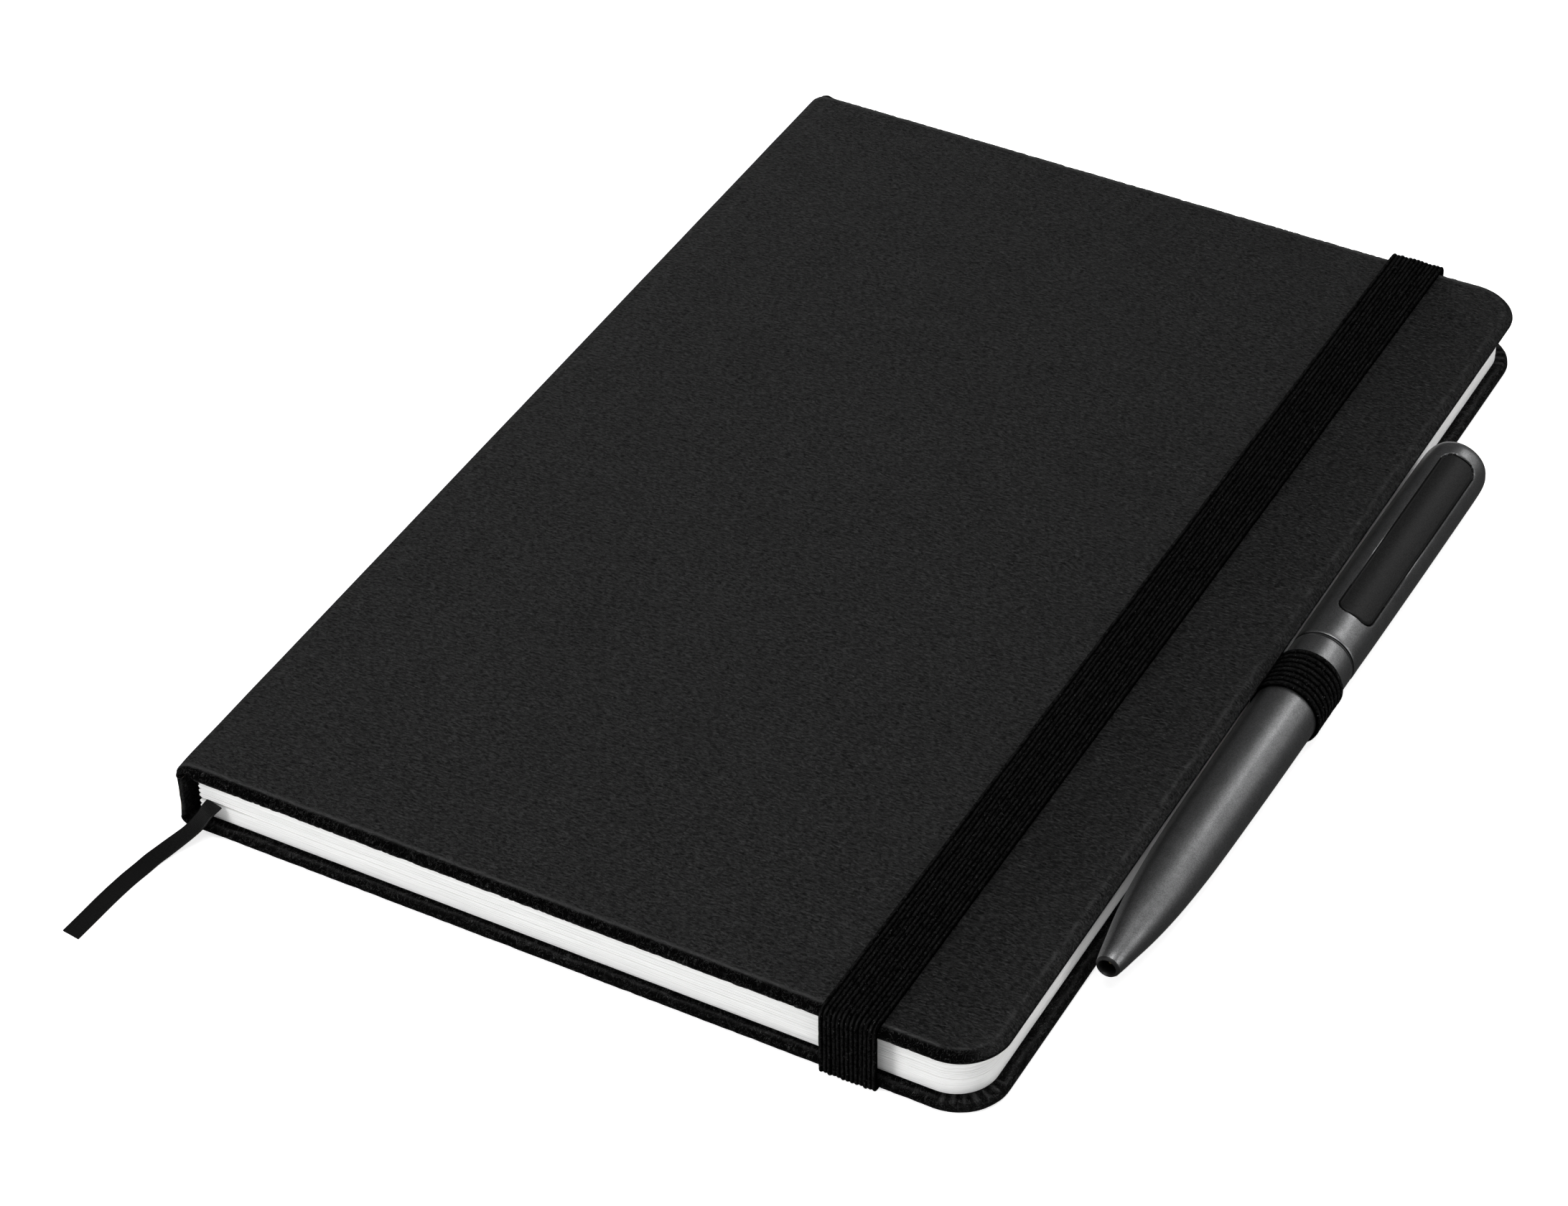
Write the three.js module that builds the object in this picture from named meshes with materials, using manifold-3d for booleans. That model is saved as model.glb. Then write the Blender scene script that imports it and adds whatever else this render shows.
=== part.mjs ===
// Hard-cover sketchbook with an elastic closure, a ribbon bookmark, and a twist pen in an elastic loop.
// Millimetres, +Z up. The book lies on its back cover. Inside the "book" group, x runs from the
// outer face of the spine to the fore-edge, y from the tail edge to the head edge, and z up from the
// underside of the back cover. The group is shifted so that the origin is the centre of that underside.
import * as THREE from 'three';
import { mergeVertices } from 'three/addons/utils/BufferGeometryUtils.js';
import Module from 'manifold-3d';

const wasm = await Module();
wasm.setup();

// ---- driving dimensions ------------------------------------------------------------------------
const L = 210;            // cover length, tail to head
const W = 139.4;          // cover width, spine to fore-edge
const T = 12.2;           // total thickness over both covers
const SKIN = 0.5;         // leather thickness
const EDGE_B = 2.15;      // back cover thickness at its edge
const EDGE_F = 1.8;       // front cover thickness at its edge
const R_CORNER = 8.4;     // fore-edge corner radius of the covers
const ROUND = 0.8;        // rounding of the leather over a board edge
const TURN_IN = 12;       // width of the leather turned in over the board
const SQUARE_Y = 1.95;    // how far the covers stand past the pages at head and tail
const SQUARE_X = 2.2;     // and at the fore-edge
// The leather folds at the spine's top edge, HINGE, when the front cover opens. The pages turn about PAGE_HINGE.
const HINGE = { x: 0.75, z: 11.6 };
const HINGE_GAP = 0.4;    // split between the spine's leather and the front cover's
const PAGE_HINGE = { x: 2.4, z: 11.75 };
const SPINE_LOW = 3.3;    // where the spine leather ends on the underside
const SIGNATURES = 8;
const SIG_T = 0.88;       // thickness of one folded signature
const SIG_GAP = 0.03;
const SIG_Z0 = 2.52;
const SIG_X0 = 3.3;       // folded edge of the signatures
const RIBBON_GAP = 0.36;  // room for the bookmark between signatures 3 and 4
const BAND_W = 9.5;       // elastic closure: width, thickness, place and slant
const BAND_T = 0.9;
const BAND_X = 118.2;
const BAND_SLANT = 1.5;
const BAND_SLOT_Y = 13;   // distance of the slot in the back cover from head and tail
const PEN = { x: 143.7, z: 6.35, y: 103, turn: -0.4 * Math.PI / 180 };  // pen axis at the loop
const LOOP = { r0: 5.5, r1: 6.05, y0: 96.2, y1: 105.9, tail: 131 };
const CLIP = { y0: 118, y1: 163.2, w: 6, angle: 66.5 * Math.PI / 180, hinge: 162 };
const RIBBON = { w: 3.2, t: 0.24 };

const COLORS = {
  leather: { color: 0x2a2a2b, roughness: 0.62, metalness: 0 },
  board: { color: 0x6f6a62, roughness: 0.95, metalness: 0 },
  paper: { color: 0xf4f2ec, roughness: 0.9, metalness: 0 },
  lining: { color: 0xe6e2d8, roughness: 0.95, metalness: 0 },
  elastic: { color: 0x121213, roughness: 0.85, metalness: 0 },
  ribbon: { color: 0x17171a, roughness: 0.5, metalness: 0 },
  barrel: { color: 0x55575a, roughness: 0.42, metalness: 0.75 },
  clip: { color: 0x1a1a1b, roughness: 0.4, metalness: 0.2 },
  insert: { color: 0xd8d8d4, roughness: 0.5, metalness: 0 },
  brass: { color: 0xb9a36a, roughness: 0.35, metalness: 0.9 },
};

// ---- helpers -----------------------------------------------------------------------------------
function solid(geometry) {
  const g = geometry.clone();
  for (const name of Object.keys(g.attributes)) if (name !== 'position') g.deleteAttribute(name);
  const m = mergeVertices(g, 1e-4);
  const t = [];
  const idx = m.index.array;
  for (let i = 0; i < idx.length; i += 3) {
    const [a, b, c] = [idx[i], idx[i + 1], idx[i + 2]];
    if (a !== b && b !== c && a !== c) t.push(a, b, c);
  }
  return new wasm.Manifold(new wasm.Mesh({
    numProp: 3,
    vertProperties: new Float32Array(m.attributes.position.array),
    triVerts: new Uint32Array(t),
  }));
}

function geometryOf(body) {
  const m = body.getMesh();
  const g = new THREE.BufferGeometry();
  const p = new Float32Array(m.numProp === 3 ? m.vertProperties : m.vertProperties.filter((_, i) => i % m.numProp < 3));
  g.setAttribute('position', new THREE.BufferAttribute(p, 3));
  g.setIndex(Array.from(m.triVerts));
  g.computeVertexNormals();
  return g;
}

// Outline of a cover or leaf: square at the spine, rounded at the two fore-edge corners.
function outline(x0, x1, y0, y1, r) {
  const s = new THREE.Shape();
  s.moveTo(x0, y0);
  s.lineTo(x1 - r, y0);
  s.absarc(x1 - r, y0 + r, r, -Math.PI / 2, 0, false);
  s.lineTo(x1, y1 - r);
  s.absarc(x1 - r, y1 - r, r, 0, Math.PI / 2, false);
  s.lineTo(x0, y1);
  s.closePath();
  return s;
}

function plate(shape, z0, z1, segments = 8) {
  const g = new THREE.ExtrudeGeometry(shape, { depth: z1 - z0, bevelEnabled: false, curveSegments: segments });
  g.translate(0, 0, z0);
  return solid(g);
}

function roundedPlate(shape, z0, z1, b, segments = 8) {
  const g = new THREE.ExtrudeGeometry(shape, {
    depth: z1 - z0 - 2 * b, bevelEnabled: true, bevelThickness: b, bevelSize: b, bevelOffset: -b,
    bevelSegments: 3, curveSegments: segments,
  });
  g.translate(0, 0, z0 + b);
  return solid(g);
}

// A section drawn in x and z, run along y.
function alongY(shape, y0, y1, segments = 6) {
  const g = new THREE.ExtrudeGeometry(shape, { depth: y1 - y0, bevelEnabled: false, curveSegments: segments });
  g.rotateX(Math.PI / 2);
  g.translate(0, y1, 0);
  return solid(g);
}

// A section drawn in y and z, run along x.
function alongX(shape, x0, x1, segments = 5) {
  const g = new THREE.ExtrudeGeometry(shape, { depth: x1 - x0, bevelEnabled: false, curveSegments: segments });
  g.applyMatrix4(new THREE.Matrix4().set(0, 0, 1, x0, 1, 0, 0, 0, 0, 1, 0, 0, 0, 0, 0, 1));
  return solid(g);
}

function block(x0, x1, y0, y1, z0, z1) {
  const g = new THREE.BoxGeometry(x1 - x0, y1 - y0, z1 - z0);
  g.translate((x0 + x1) / 2, (y0 + y1) / 2, (z0 + z1) / 2);
  return solid(g);
}

function turned(points, segments = 40) {
  return solid(new THREE.LatheGeometry(points.map(([r, y]) => new THREE.Vector2(r, y)), segments));
}

function slanted(geometry) {
  const p = geometry.attributes.position;
  for (let i = 0; i < p.count; i++) p.setX(i, p.getX(i) + (p.getY(i) / L - 0.5) * BAND_SLANT);
  geometry.computeVertexNormals();
  return geometry;
}

const object = new THREE.Group();
const book = new THREE.Group();
book.position.set(-W / 2, -L / 2, 0);
object.add(book);
const pen = new THREE.Group();
pen.position.set(PEN.x, PEN.y, PEN.z);
pen.rotation.z = PEN.turn;
book.add(pen);

function add(name, geometry, look, parent = book) {
  const mesh = new THREE.Mesh(geometry, new THREE.MeshStandardMaterial(COLORS[look]));
  mesh.name = name;
  parent.add(mesh);
  return mesh;
}

// ---- elastic closure and its anchors (their tools also cut the back cover) -----------------------
const bandX0 = BAND_X - BAND_W / 2;
const bandX1 = BAND_X + BAND_W / 2;
const bandOut = BAND_T + 0.1;
function bandProfile() {
  const zt = T + 0.05 + BAND_T;
  const s = new THREE.Shape();
  s.moveTo(-bandOut, 0.9);
  s.lineTo(-0.1, 0.9);
  s.lineTo(-0.1, T - 0.35);
  s.lineTo(0.3, T + 0.05);
  s.lineTo(L - 0.3, T + 0.05);
  s.lineTo(L + 0.1, T - 0.35);
  s.lineTo(L + 0.1, 0.9);
  s.lineTo(L + bandOut, 0.9);
  s.lineTo(L + bandOut, zt - 1.1);
  s.absarc(L + bandOut - 1.1, zt - 1.1, 1.1, 0, Math.PI / 2, false);
  s.lineTo(-bandOut + 1.1, zt);
  s.absarc(-bandOut + 1.1, zt - 1.1, 1.1, Math.PI / 2, Math.PI, false);
  s.closePath();
  return s;
}
add('elastic_band', slanted(geometryOf(alongX(bandProfile(), bandX0, bandX1))), 'elastic');

function anchor(side, grow) {
  // side 0 is the tail, side 1 the head; the run lies in a groove under the cover and rises through a slot
  const f = (y) => (side ? L - y : y);
  const [a, b] = [f(-bandOut), f(BAND_SLOT_Y + 1)];
  const run = block(bandX0 - grow, bandX1 + grow, Math.min(a, b) - grow, Math.max(a, b) + grow, grow ? -1 : 0, 0.85 + grow);
  const [c, d] = [f(BAND_SLOT_Y), f(BAND_SLOT_Y + 1)];
  const riser = block(bandX0 - grow, bandX1 + grow, Math.min(c, d) - grow, Math.max(c, d) + grow, 0.2, grow ? 1.8 : 1.7);
  return run.add(riser);
}
function slantedSolid(body) {
  return solid(slanted(geometryOf(body)));
}
add('band_anchor_tail', slanted(geometryOf(anchor(0, 0))), 'elastic');
add('band_anchor_head', slanted(geometryOf(anchor(1, 0))), 'elastic');
const bandCut = slantedSolid(anchor(0, 0.15)).add(slantedSolid(anchor(1, 0.15)));

// ---- back cover -----------------------------------------------------------------------------------
const outer = outline(-5, W, 0, L, R_CORNER);
const boardOutline = (x0) => outline(x0, W - SKIN, SKIN, L - SKIN, R_CORNER - SKIN);
const window_ = (x0) => outline(x0, W - TURN_IN, TURN_IN, L - TURN_IN, 1);
const loopCut = block(LOOP.tail - 0.2, W + 2, LOOP.y0 - 0.35, LOOP.y1 + 0.35, 1.72, 4);

// The leather goes under the board, round its edges and over its rim.
const backSkin = roundedPlate(outer, 0, EDGE_B, ROUND)
  .intersect(block(SPINE_LOW, W + 5, -5, L + 5, -1, 5))
  .subtract(plate(boardOutline(-3), SKIN, 1.75))
  .subtract(plate(window_(-3), 1.0, 4))
  .subtract(bandCut)
  .subtract(loopCut);
add('back_skin', geometryOf(backSkin), 'leather');
add('back_board', geometryOf(plate(boardOutline(SPINE_LOW + 0.4), SKIN, 1.7).subtract(bandCut)), 'board');
const backPaste = plate(outline(4.2, W - 3.5, 3.5, L - 3.5, 6), EDGE_B, 2.3)
  .add(plate(outline(4.2, W - TURN_IN - 0.3, TURN_IN + 0.3, L - TURN_IN - 0.3, 0.8), 1.82, 2.2));
add('back_pastedown', geometryOf(backPaste), 'paper');

// Leather strip that bends from the back cover up the spine and over to the front cover.
function spineSection() {
  const s = new THREE.Shape();
  s.moveTo(SPINE_LOW - 0.05, 0);
  s.lineTo(SPINE_LOW - 0.05, SKIN);
  s.lineTo(2.3, SKIN);
  s.absarc(2.3, 2.3, 1.8, -Math.PI / 2, -Math.PI, true);
  s.lineTo(0.5, T - 2.3);
  s.absarc(2.3, T - 2.3, 1.8, Math.PI, Math.PI / 2, true);
  s.lineTo(FRONT_X0 + 0.2, T - SKIN);
  s.lineTo(FRONT_X0 + 0.2, T);
  s.lineTo(2.3, T);
  s.absarc(2.3, T - 2.3, 2.3, Math.PI / 2, Math.PI, false);
  s.lineTo(0, 2.3);
  s.absarc(2.3, 2.3, 2.3, Math.PI, 1.5 * Math.PI, false);
  s.closePath();
  return s;
}

// ---- front cover ----------------------------------------------------------------------------------
const zf = T - EDGE_F;
// The leather is a single layer from the split near the spine to FRONT_X0, where the board begins.
const FRONT_X0 = 3.6;
const SPLIT_X = HINGE.x + 0.75;
const spineStrip = alongY(spineSection(), 0, L, 8);
const frontSkin = roundedPlate(outer, zf, T, ROUND)
  .intersect(block(FRONT_X0, W + 5, -5, L + 5, 5, T + 1))
  .subtract(plate(boardOutline(-3), zf + 0.35, T - SKIN))
  .subtract(plate(window_(-3), 5, zf + 0.6))
  .add(spineStrip.intersect(block(SPLIT_X + HINGE_GAP, FRONT_X0 + 0.05, -1, L + 1, 8, T + 1)));
add('front_skin', geometryOf(frontSkin), 'leather');
add('front_board', geometryOf(plate(boardOutline(FRONT_X0 + 0.3), zf + 0.4, T - SKIN)), 'board');
const frontPaste = plate(outline(4.4, W - 3.5, 3.5, L - 3.5, 6), zf - 0.15, zf)
  .add(plate(outline(4.4, W - TURN_IN - 0.3, TURN_IN + 0.3, L - TURN_IN - 0.3, 0.8), zf - 0.05, zf + 0.33));
add('front_pastedown', geometryOf(frontPaste), 'paper');

// ---- spine ------------------------------------------------------------------------------------------
add('spine_skin', geometryOf(spineStrip.subtract(block(SPLIT_X, 9, -1, L + 1, 8, T + 1))), 'leather');
add('spine_board', geometryOf(block(0.55, 1.5, 0.6, L - 0.6, 2.4, T - 2.4)), 'board');
add('spine_lining', geometryOf(block(2.86, 3.16, 6, L - 6, 2.7, 9.7)), 'lining');

// ---- text block ---------------------------------------------------------------------------------------
const xe = W - SQUARE_X;
const ys = SQUARE_Y;
const R_PAGE = R_CORNER - 1.6;
function signature(z0) {
  const h = SIG_T;
  const s = new THREE.Shape();
  s.moveTo(SIG_X0 + 0.5, z0);
  s.lineTo(xe + 1, z0);
  s.lineTo(xe + 1, z0 + h);
  s.lineTo(SIG_X0 + 0.5, z0 + h);
  s.lineTo(SIG_X0 + 0.14, z0 + h - 0.15);
  s.lineTo(SIG_X0, z0 + h / 2);
  s.lineTo(SIG_X0 + 0.14, z0 + 0.15);
  s.closePath();
  return alongY(s, -1, L + 1).intersect(plate(outline(0, xe, ys, L - ys, R_PAGE), z0 - 1, z0 + 2, 6));
}
const sigZ = [];
for (let i = 0; i < SIGNATURES; i++) {
  sigZ.push(SIG_Z0 + i * (SIG_T + SIG_GAP) + (i >= 3 ? RIBBON_GAP - SIG_GAP : 0));
  add(`signature_${i + 1}`, geometryOf(signature(sigZ[i])), 'paper');
}
add('back_flyleaf', geometryOf(plate(outline(4.2, xe, ys, L - ys, R_PAGE), 2.36, 2.48, 6)), 'paper');
const flyZ = sigZ[SIGNATURES - 1] + SIG_T + 0.03;
add('front_flyleaf', geometryOf(plate(outline(3.7, xe, ys, L - ys, R_PAGE), flyZ, flyZ + 0.11, 6)), 'paper');

// ---- bookmark -------------------------------------------------------------------------------------------
// Glued to the spine lining at the head, it lies between two signatures and leaves them at the tail.
const rz = sigZ[3] - RIBBON_GAP / 2;
{
  const g = new THREE.BoxGeometry(RIBBON.w, L - 2 * ys - 6.6, RIBBON.t);
  g.translate(0, L / 2 - 2.9, rz);
  const p = g.attributes.position;
  for (let i = 0; i < p.count; i++) p.setX(i, p.getX(i) + 6.12 + (p.getY(i) - 2) * 0.004);
  add('ribbon_inner', geometryOf(solid(g)), 'ribbon');
}
// Free tail: over the edge of the back cover, down to the surface the book lies on.
const TAIL = [
  [6.12, 1.85, rz], [5.95, 1.2, rz - 0.2], [5.65, 0.4, 4.78], [5.17, -0.55, 3.75], [4.6, -1.65, 2.85], [3.9, -2.75, 2.1],
  [3.15, -3.9, 1.45], [2.4, -5.3, 0.9], [1.75, -6.9, 0.5], [1.2, -8.7, 0.28], [0.8, -11.0, 0.14], [0.35, -14.2, 0.13],
  [0.1, -17.0, 0.13], [-0.08, -20.0, 0.13], [-0.2, -23.5, 0.13], [-0.4, -28.1, 0.13],
].map((p) => new THREE.Vector3(...p));
{
  // flat section swept along the tail, kept level across its width
  const curve = new THREE.CatmullRomCurve3(TAIL, false, 'centripetal');
  const n = 26;
  const pos = [];
  const idx = [];
  for (let i = 0; i <= n; i++) {
    const c = curve.getPointAt(i / n);
    const t = curve.getTangentAt(i / n);
    const side = new THREE.Vector3(-t.y, t.x, 0).normalize();
    const up = new THREE.Vector3().crossVectors(side, t).normalize();
    if (up.z < 0) up.negate();
    const [w, h] = [RIBBON.w / 2, RIBBON.t / 2];
    for (const [a, b] of [[-w, -h], [w, -h], [w, h], [-w, h]]) {
      const q = c.clone().addScaledVector(side, a).addScaledVector(up, b);
      pos.push(q.x, q.y, q.z);
    }
  }
  for (let i = 0; i < n; i++) {
    for (let k = 0; k < 4; k++) {
      const [a, b] = [4 * i + k, 4 * i + ((k + 1) % 4)];
      idx.push(a, a + 4, b, b, a + 4, b + 4);
    }
  }
  idx.push(0, 1, 2, 0, 2, 3);
  const e = 4 * n;
  idx.push(e, e + 2, e + 1, e, e + 3, e + 2);
  const g = new THREE.BufferGeometry();
  g.setAttribute('position', new THREE.BufferAttribute(new Float32Array(pos), 3));
  g.setIndex(idx);
  let v = 0;
  const P = (i) => new THREE.Vector3().fromArray(pos, 3 * i);
  for (let i = 0; i < idx.length; i += 3) v += P(idx[i]).dot(P(idx[i + 1]).cross(P(idx[i + 2])));
  if (v < 0) for (let i = 0; i < idx.length; i += 3) [idx[i + 1], idx[i + 2]] = [idx[i + 2], idx[i + 1]];
  g.setIndex(idx);
  g.computeVertexNormals();
  add('ribbon_tail', g, 'ribbon');
}

// ---- pen loop ----------------------------------------------------------------------------------------------
// Elastic tube round the barrel; its flat tail is glued between the back board's rim and the pastedown.
{
  const ring = turned([[LOOP.r0, LOOP.y0 - PEN.y], [LOOP.r1, LOOP.y0 - PEN.y], [LOOP.r1, LOOP.y1 - PEN.y], [LOOP.r0, LOOP.y1 - PEN.y], [LOOP.r0, LOOP.y0 - PEN.y]], 44);
  const tail = block(LOOP.tail - PEN.x, -4.05, LOOP.y0 - PEN.y, LOOP.y1 - PEN.y, 1.78 - PEN.z, 2.12 - PEN.z);
  add('pen_loop', geometryOf(ring.add(tail)), 'elastic', pen);
}

// ---- pen ------------------------------------------------------------------------------------------------------
// Lengths below are y in the book's frame; the pen group's origin is at y = PEN.y on the pen's axis.
const py = (list) => list.map(([r, y]) => [r, y - PEN.y]);
const lower = turned(py([
  [1.3, 32.6], [1.55, 32.3], [1.95, 32.7], [2.3, 34.6], [2.75, 37.4], [3.3, 40.6], [3.85, 44.6], [4.3, 49], [4.62, 53.5], [4.9, 59],
  [5.08, 66], [5.2, 74], [5.3, 82], [5.36, 90], [5.4, 100], [5.4, 110.6],
  [4.4, 110.6], [4.4, 60], [2.3, 46], [2.3, 42], [1.3, 41.5], [1.3, 32.6],
]));
add('pen_lower_barrel', geometryOf(lower), 'barrel', pen);
add('pen_ring', geometryOf(turned(py([[4.4, 110.72], [5.3, 110.72], [5.3, 111.12], [4.4, 111.12], [4.4, 110.72]]))), 'clip', pen);

// A straight-sided pocket or plate with rounded ends, seen along the clip's outward direction.
function clipPrism(w, y0, y1, d0, d1, r) {
  const s = new THREE.Shape();
  const h = w / 2;
  s.moveTo(-h + r, y0);
  s.lineTo(h - r, y0);
  s.absarc(h - r, y0 + r, r, -Math.PI / 2, 0, false);
  s.lineTo(h, y1 - r);
  s.absarc(h - r, y1 - r, r, 0, Math.PI / 2, false);
  s.lineTo(-h + r, y1);
  s.absarc(-h + r, y1 - r, r, Math.PI / 2, Math.PI, false);
  s.lineTo(-h, y0 + r);
  s.absarc(-h + r, y0 + r, r, Math.PI, 1.5 * Math.PI, false);
  const g = new THREE.ExtrudeGeometry(s, { depth: d1 - d0, bevelEnabled: false, curveSegments: 4 });
  g.translate(0, -PEN.y, d0);
  g.rotateY(Math.PI / 2 - CLIP.angle);
  return solid(g);
}
const upperOuter = [
  [5.42, 111.25], [5.5, 119], [5.56, 131], [5.6, 143], [5.6, 157], [5.58, 163.2], [5.5, 165.5], [5.2, 166.8], [4.6, 167.5], [3.6, 167.95], [2.0, 168.12], [0, 168.15],
];
const upper = turned(py([[0, 162], [3.2, 162], [3.2, 113.3], [4.4, 113.3], [4.4, 111.25], ...upperOuter].map((p) => p)))
  .subtract(clipPrism(CLIP.w + 0.7, CLIP.y0 - 0.4, CLIP.y1 + 0.4, 4.0, 8, 1.5));
add('pen_upper_barrel', geometryOf(upper), 'barrel', pen);
const clip = clipPrism(CLIP.w, CLIP.y0, CLIP.y1, 4.3, 8, 1.25).intersect(turned(py([[0, 110], [5.5, 110], [5.5, 172], [0, 172]]), 48));
add('pen_clip', geometryOf(clip), 'clip', pen);
add('pen_twist_insert', geometryOf(turned(py([[1.95, 98], [2.9, 98], [2.9, 150], [1.95, 150], [1.95, 98]]), 24)), 'insert', pen);
add('pen_refill_tube', geometryOf(turned(py([[0, 48.2], [1.55, 48.2], [1.55, 140], [0, 140]]), 20)), 'insert', pen);
add('pen_refill_tip', geometryOf(turned(py([[0, 33.5], [0.35, 33.7], [0.55, 34.6], [1.1, 37.2], [1.1, 44.8], [1.5, 45], [1.5, 48], [0, 48]]), 20)), 'brass', pen);

export default object;
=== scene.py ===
"""Hard-cover sketchbook with elastic closure, ribbon bookmark and a twist pen in a loop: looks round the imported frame.

All meshes are laid out in the book's own millimetres (x from the spine's outer face to the fore-edge, y from tail to
head, z up from the back cover's underside) and placed in the row frame in metres."""
import math

import bpy
import numpy as np
from mathutils import Matrix, Vector


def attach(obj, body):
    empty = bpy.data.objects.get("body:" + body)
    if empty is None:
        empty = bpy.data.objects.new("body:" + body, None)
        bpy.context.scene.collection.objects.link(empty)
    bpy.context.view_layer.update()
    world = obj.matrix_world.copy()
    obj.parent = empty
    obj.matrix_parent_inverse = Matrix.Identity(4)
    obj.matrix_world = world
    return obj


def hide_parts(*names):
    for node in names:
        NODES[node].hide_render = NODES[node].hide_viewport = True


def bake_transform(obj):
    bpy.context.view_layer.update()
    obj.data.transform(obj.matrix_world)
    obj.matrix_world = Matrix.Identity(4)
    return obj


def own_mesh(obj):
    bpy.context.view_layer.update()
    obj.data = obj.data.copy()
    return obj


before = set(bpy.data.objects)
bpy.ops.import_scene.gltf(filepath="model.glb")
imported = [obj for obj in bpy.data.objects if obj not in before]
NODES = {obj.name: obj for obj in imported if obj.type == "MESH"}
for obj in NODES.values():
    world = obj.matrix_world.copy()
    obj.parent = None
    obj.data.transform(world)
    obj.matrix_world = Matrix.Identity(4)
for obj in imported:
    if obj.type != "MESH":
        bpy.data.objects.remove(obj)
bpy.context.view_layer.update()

# ---- the book's sizes, in millimetres -------------------------------------------------------------
L, W, T = 210.0, 139.4, 12.2
EDGE_B, EDGE_F = 2.15, 1.8
R = 8.4                      # fore-edge corner radius
CX = W - R                   # x of the corner centres
R_SP = 2.3                   # outer radius of the spine's two bends
BAND_W, BAND_T, BAND_X, BAND_SLANT, BAND_SLOT = 9.5, 0.9, 118.2, 1.5, 13.0
PAGE_HINGE = (2.4, 11.75)
PEN = dict(x=143.7, y=103.0, z=6.35, turn=math.radians(-0.4))


def row(p):
    """Book millimetres to row-frame metres."""
    p = np.asarray(p, float)
    return (p - np.array([W / 2, L / 2, 0.0])) / 1000.0


def rowpt(x, y, z):
    return tuple(float(v) for v in row([x, y, z]))


# ---- noise and small maths -------------------------------------------------------------------------
def _hash(ix, iy, iz, seed):
    m = np.int64(0xFFFFFFFF)
    h = (ix * 374761393 + iy * 668265263 + iz * 2147483629 + seed * 1274126177) & m
    h = ((h ^ (h >> 13)) * 1274126177) & m
    h = ((h ^ (h >> 15)) * 2246822519) & m
    return ((h ^ (h >> 16)) & 0xFFFFFF) / float(0xFFFFFF)


def noise(x, y=0.0, z=0.0, seed=0):
    """Smooth value noise from -1 to 1."""
    x, y, z = np.broadcast_arrays(np.asarray(x, float), np.asarray(y, float), np.asarray(z, float))
    ix, iy, iz = (np.floor(a).astype(np.int64) for a in (x, y, z))
    fx, fy, fz = x - ix, y - iy, z - iz
    fx, fy, fz = (f * f * f * (f * (f * 6 - 15) + 10) for f in (fx, fy, fz))
    out = 0.0
    for dx in (0, 1):
        for dy in (0, 1):
            for dz in (0, 1):
                w = (fx if dx else 1 - fx) * (fy if dy else 1 - fy) * (fz if dz else 1 - fz)
                out = out + w * _hash(ix + dx, iy + dy, iz + dz, seed)
    return out * 2 - 1


def fbm(x, y=0.0, z=0.0, seed=0, octaves=3):
    total, amp, norm = 0.0, 1.0, 0.0
    for o in range(octaves):
        k = 2.03 ** o
        total = total + amp * noise(np.asarray(x) * k, np.asarray(y) * k, np.asarray(z) * k, seed + 17 * o)
        norm += amp
        amp *= 0.5
    return total / norm


def smooth(a, b, x):
    t = np.clip((np.asarray(x, float) - a) / (b - a), 0, 1)
    return t * t * (3 - 2 * t)


def bell(x, c, w):
    return np.exp(-(((np.asarray(x, float) - c) / w) ** 2))


def spread(a, b, step):
    n = max(1, int(round((b - a) / step)))
    return [a + (b - a) * i / n for i in range(n + 1)]


# ---- mesh building --------------------------------------------------------------------------------
class Build:
    """Grids and faces in book millimetres with per-point facts, welded into one mesh."""

    def __init__(self, facts=()):
        self.p, self.f, self.facts = [], [], {k: [] for k in facts}
        self.n = 0

    def points(self, p, **facts):
        p = np.asarray(p, float).reshape(-1, 3)
        start = self.n
        self.p.append(p)
        for k in self.facts:
            v = np.asarray(facts.get(k, 0.0), float)
            self.facts[k].append(np.broadcast_to(v.ravel() if v.ndim else v, (len(p),)).copy())
        self.n += len(p)
        return np.arange(start, self.n)

    def grid(self, p, close_i=False, close_j=False, flip=False, **facts):
        p = np.asarray(p, float)
        a, b = p.shape[:2]
        ids = self.points(p, **facts).reshape(a, b)
        ii = range(a if close_i else a - 1)
        jj = range(b if close_j else b - 1)
        for i in ii:
            i2 = (i + 1) % a
            for j in jj:
                j2 = (j + 1) % b
                q = [ids[i, j], ids[i2, j], ids[i2, j2], ids[i, j2]]
                self.f.append(q[::-1] if flip else q)
        return ids

    def face(self, ids, flip=False):
        ids = [int(i) for i in ids]
        self.f.append(ids[::-1] if flip else ids)

    def welded(self, tol=1e-3):
        p = np.concatenate(self.p)
        facts = {k: np.concatenate(v) for k, v in self.facts.items()}
        key = np.round(p / tol).astype(np.int64)
        _, first, inverse = np.unique(key, axis=0, return_index=True, return_inverse=True)
        inverse = inverse.ravel()
        p2 = p[first]
        facts = {k: v[first] for k, v in facts.items()}
        faces = []
        for f in self.f:
            g = []
            for i in f:
                j = int(inverse[i])
                if not g or g[-1] != j:
                    g.append(j)
            if len(g) > 1 and g[0] == g[-1]:
                g.pop()
            if len(g) >= 3 and len(set(g)) == len(g):
                faces.append(g)
        return p2, faces, facts


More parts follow.
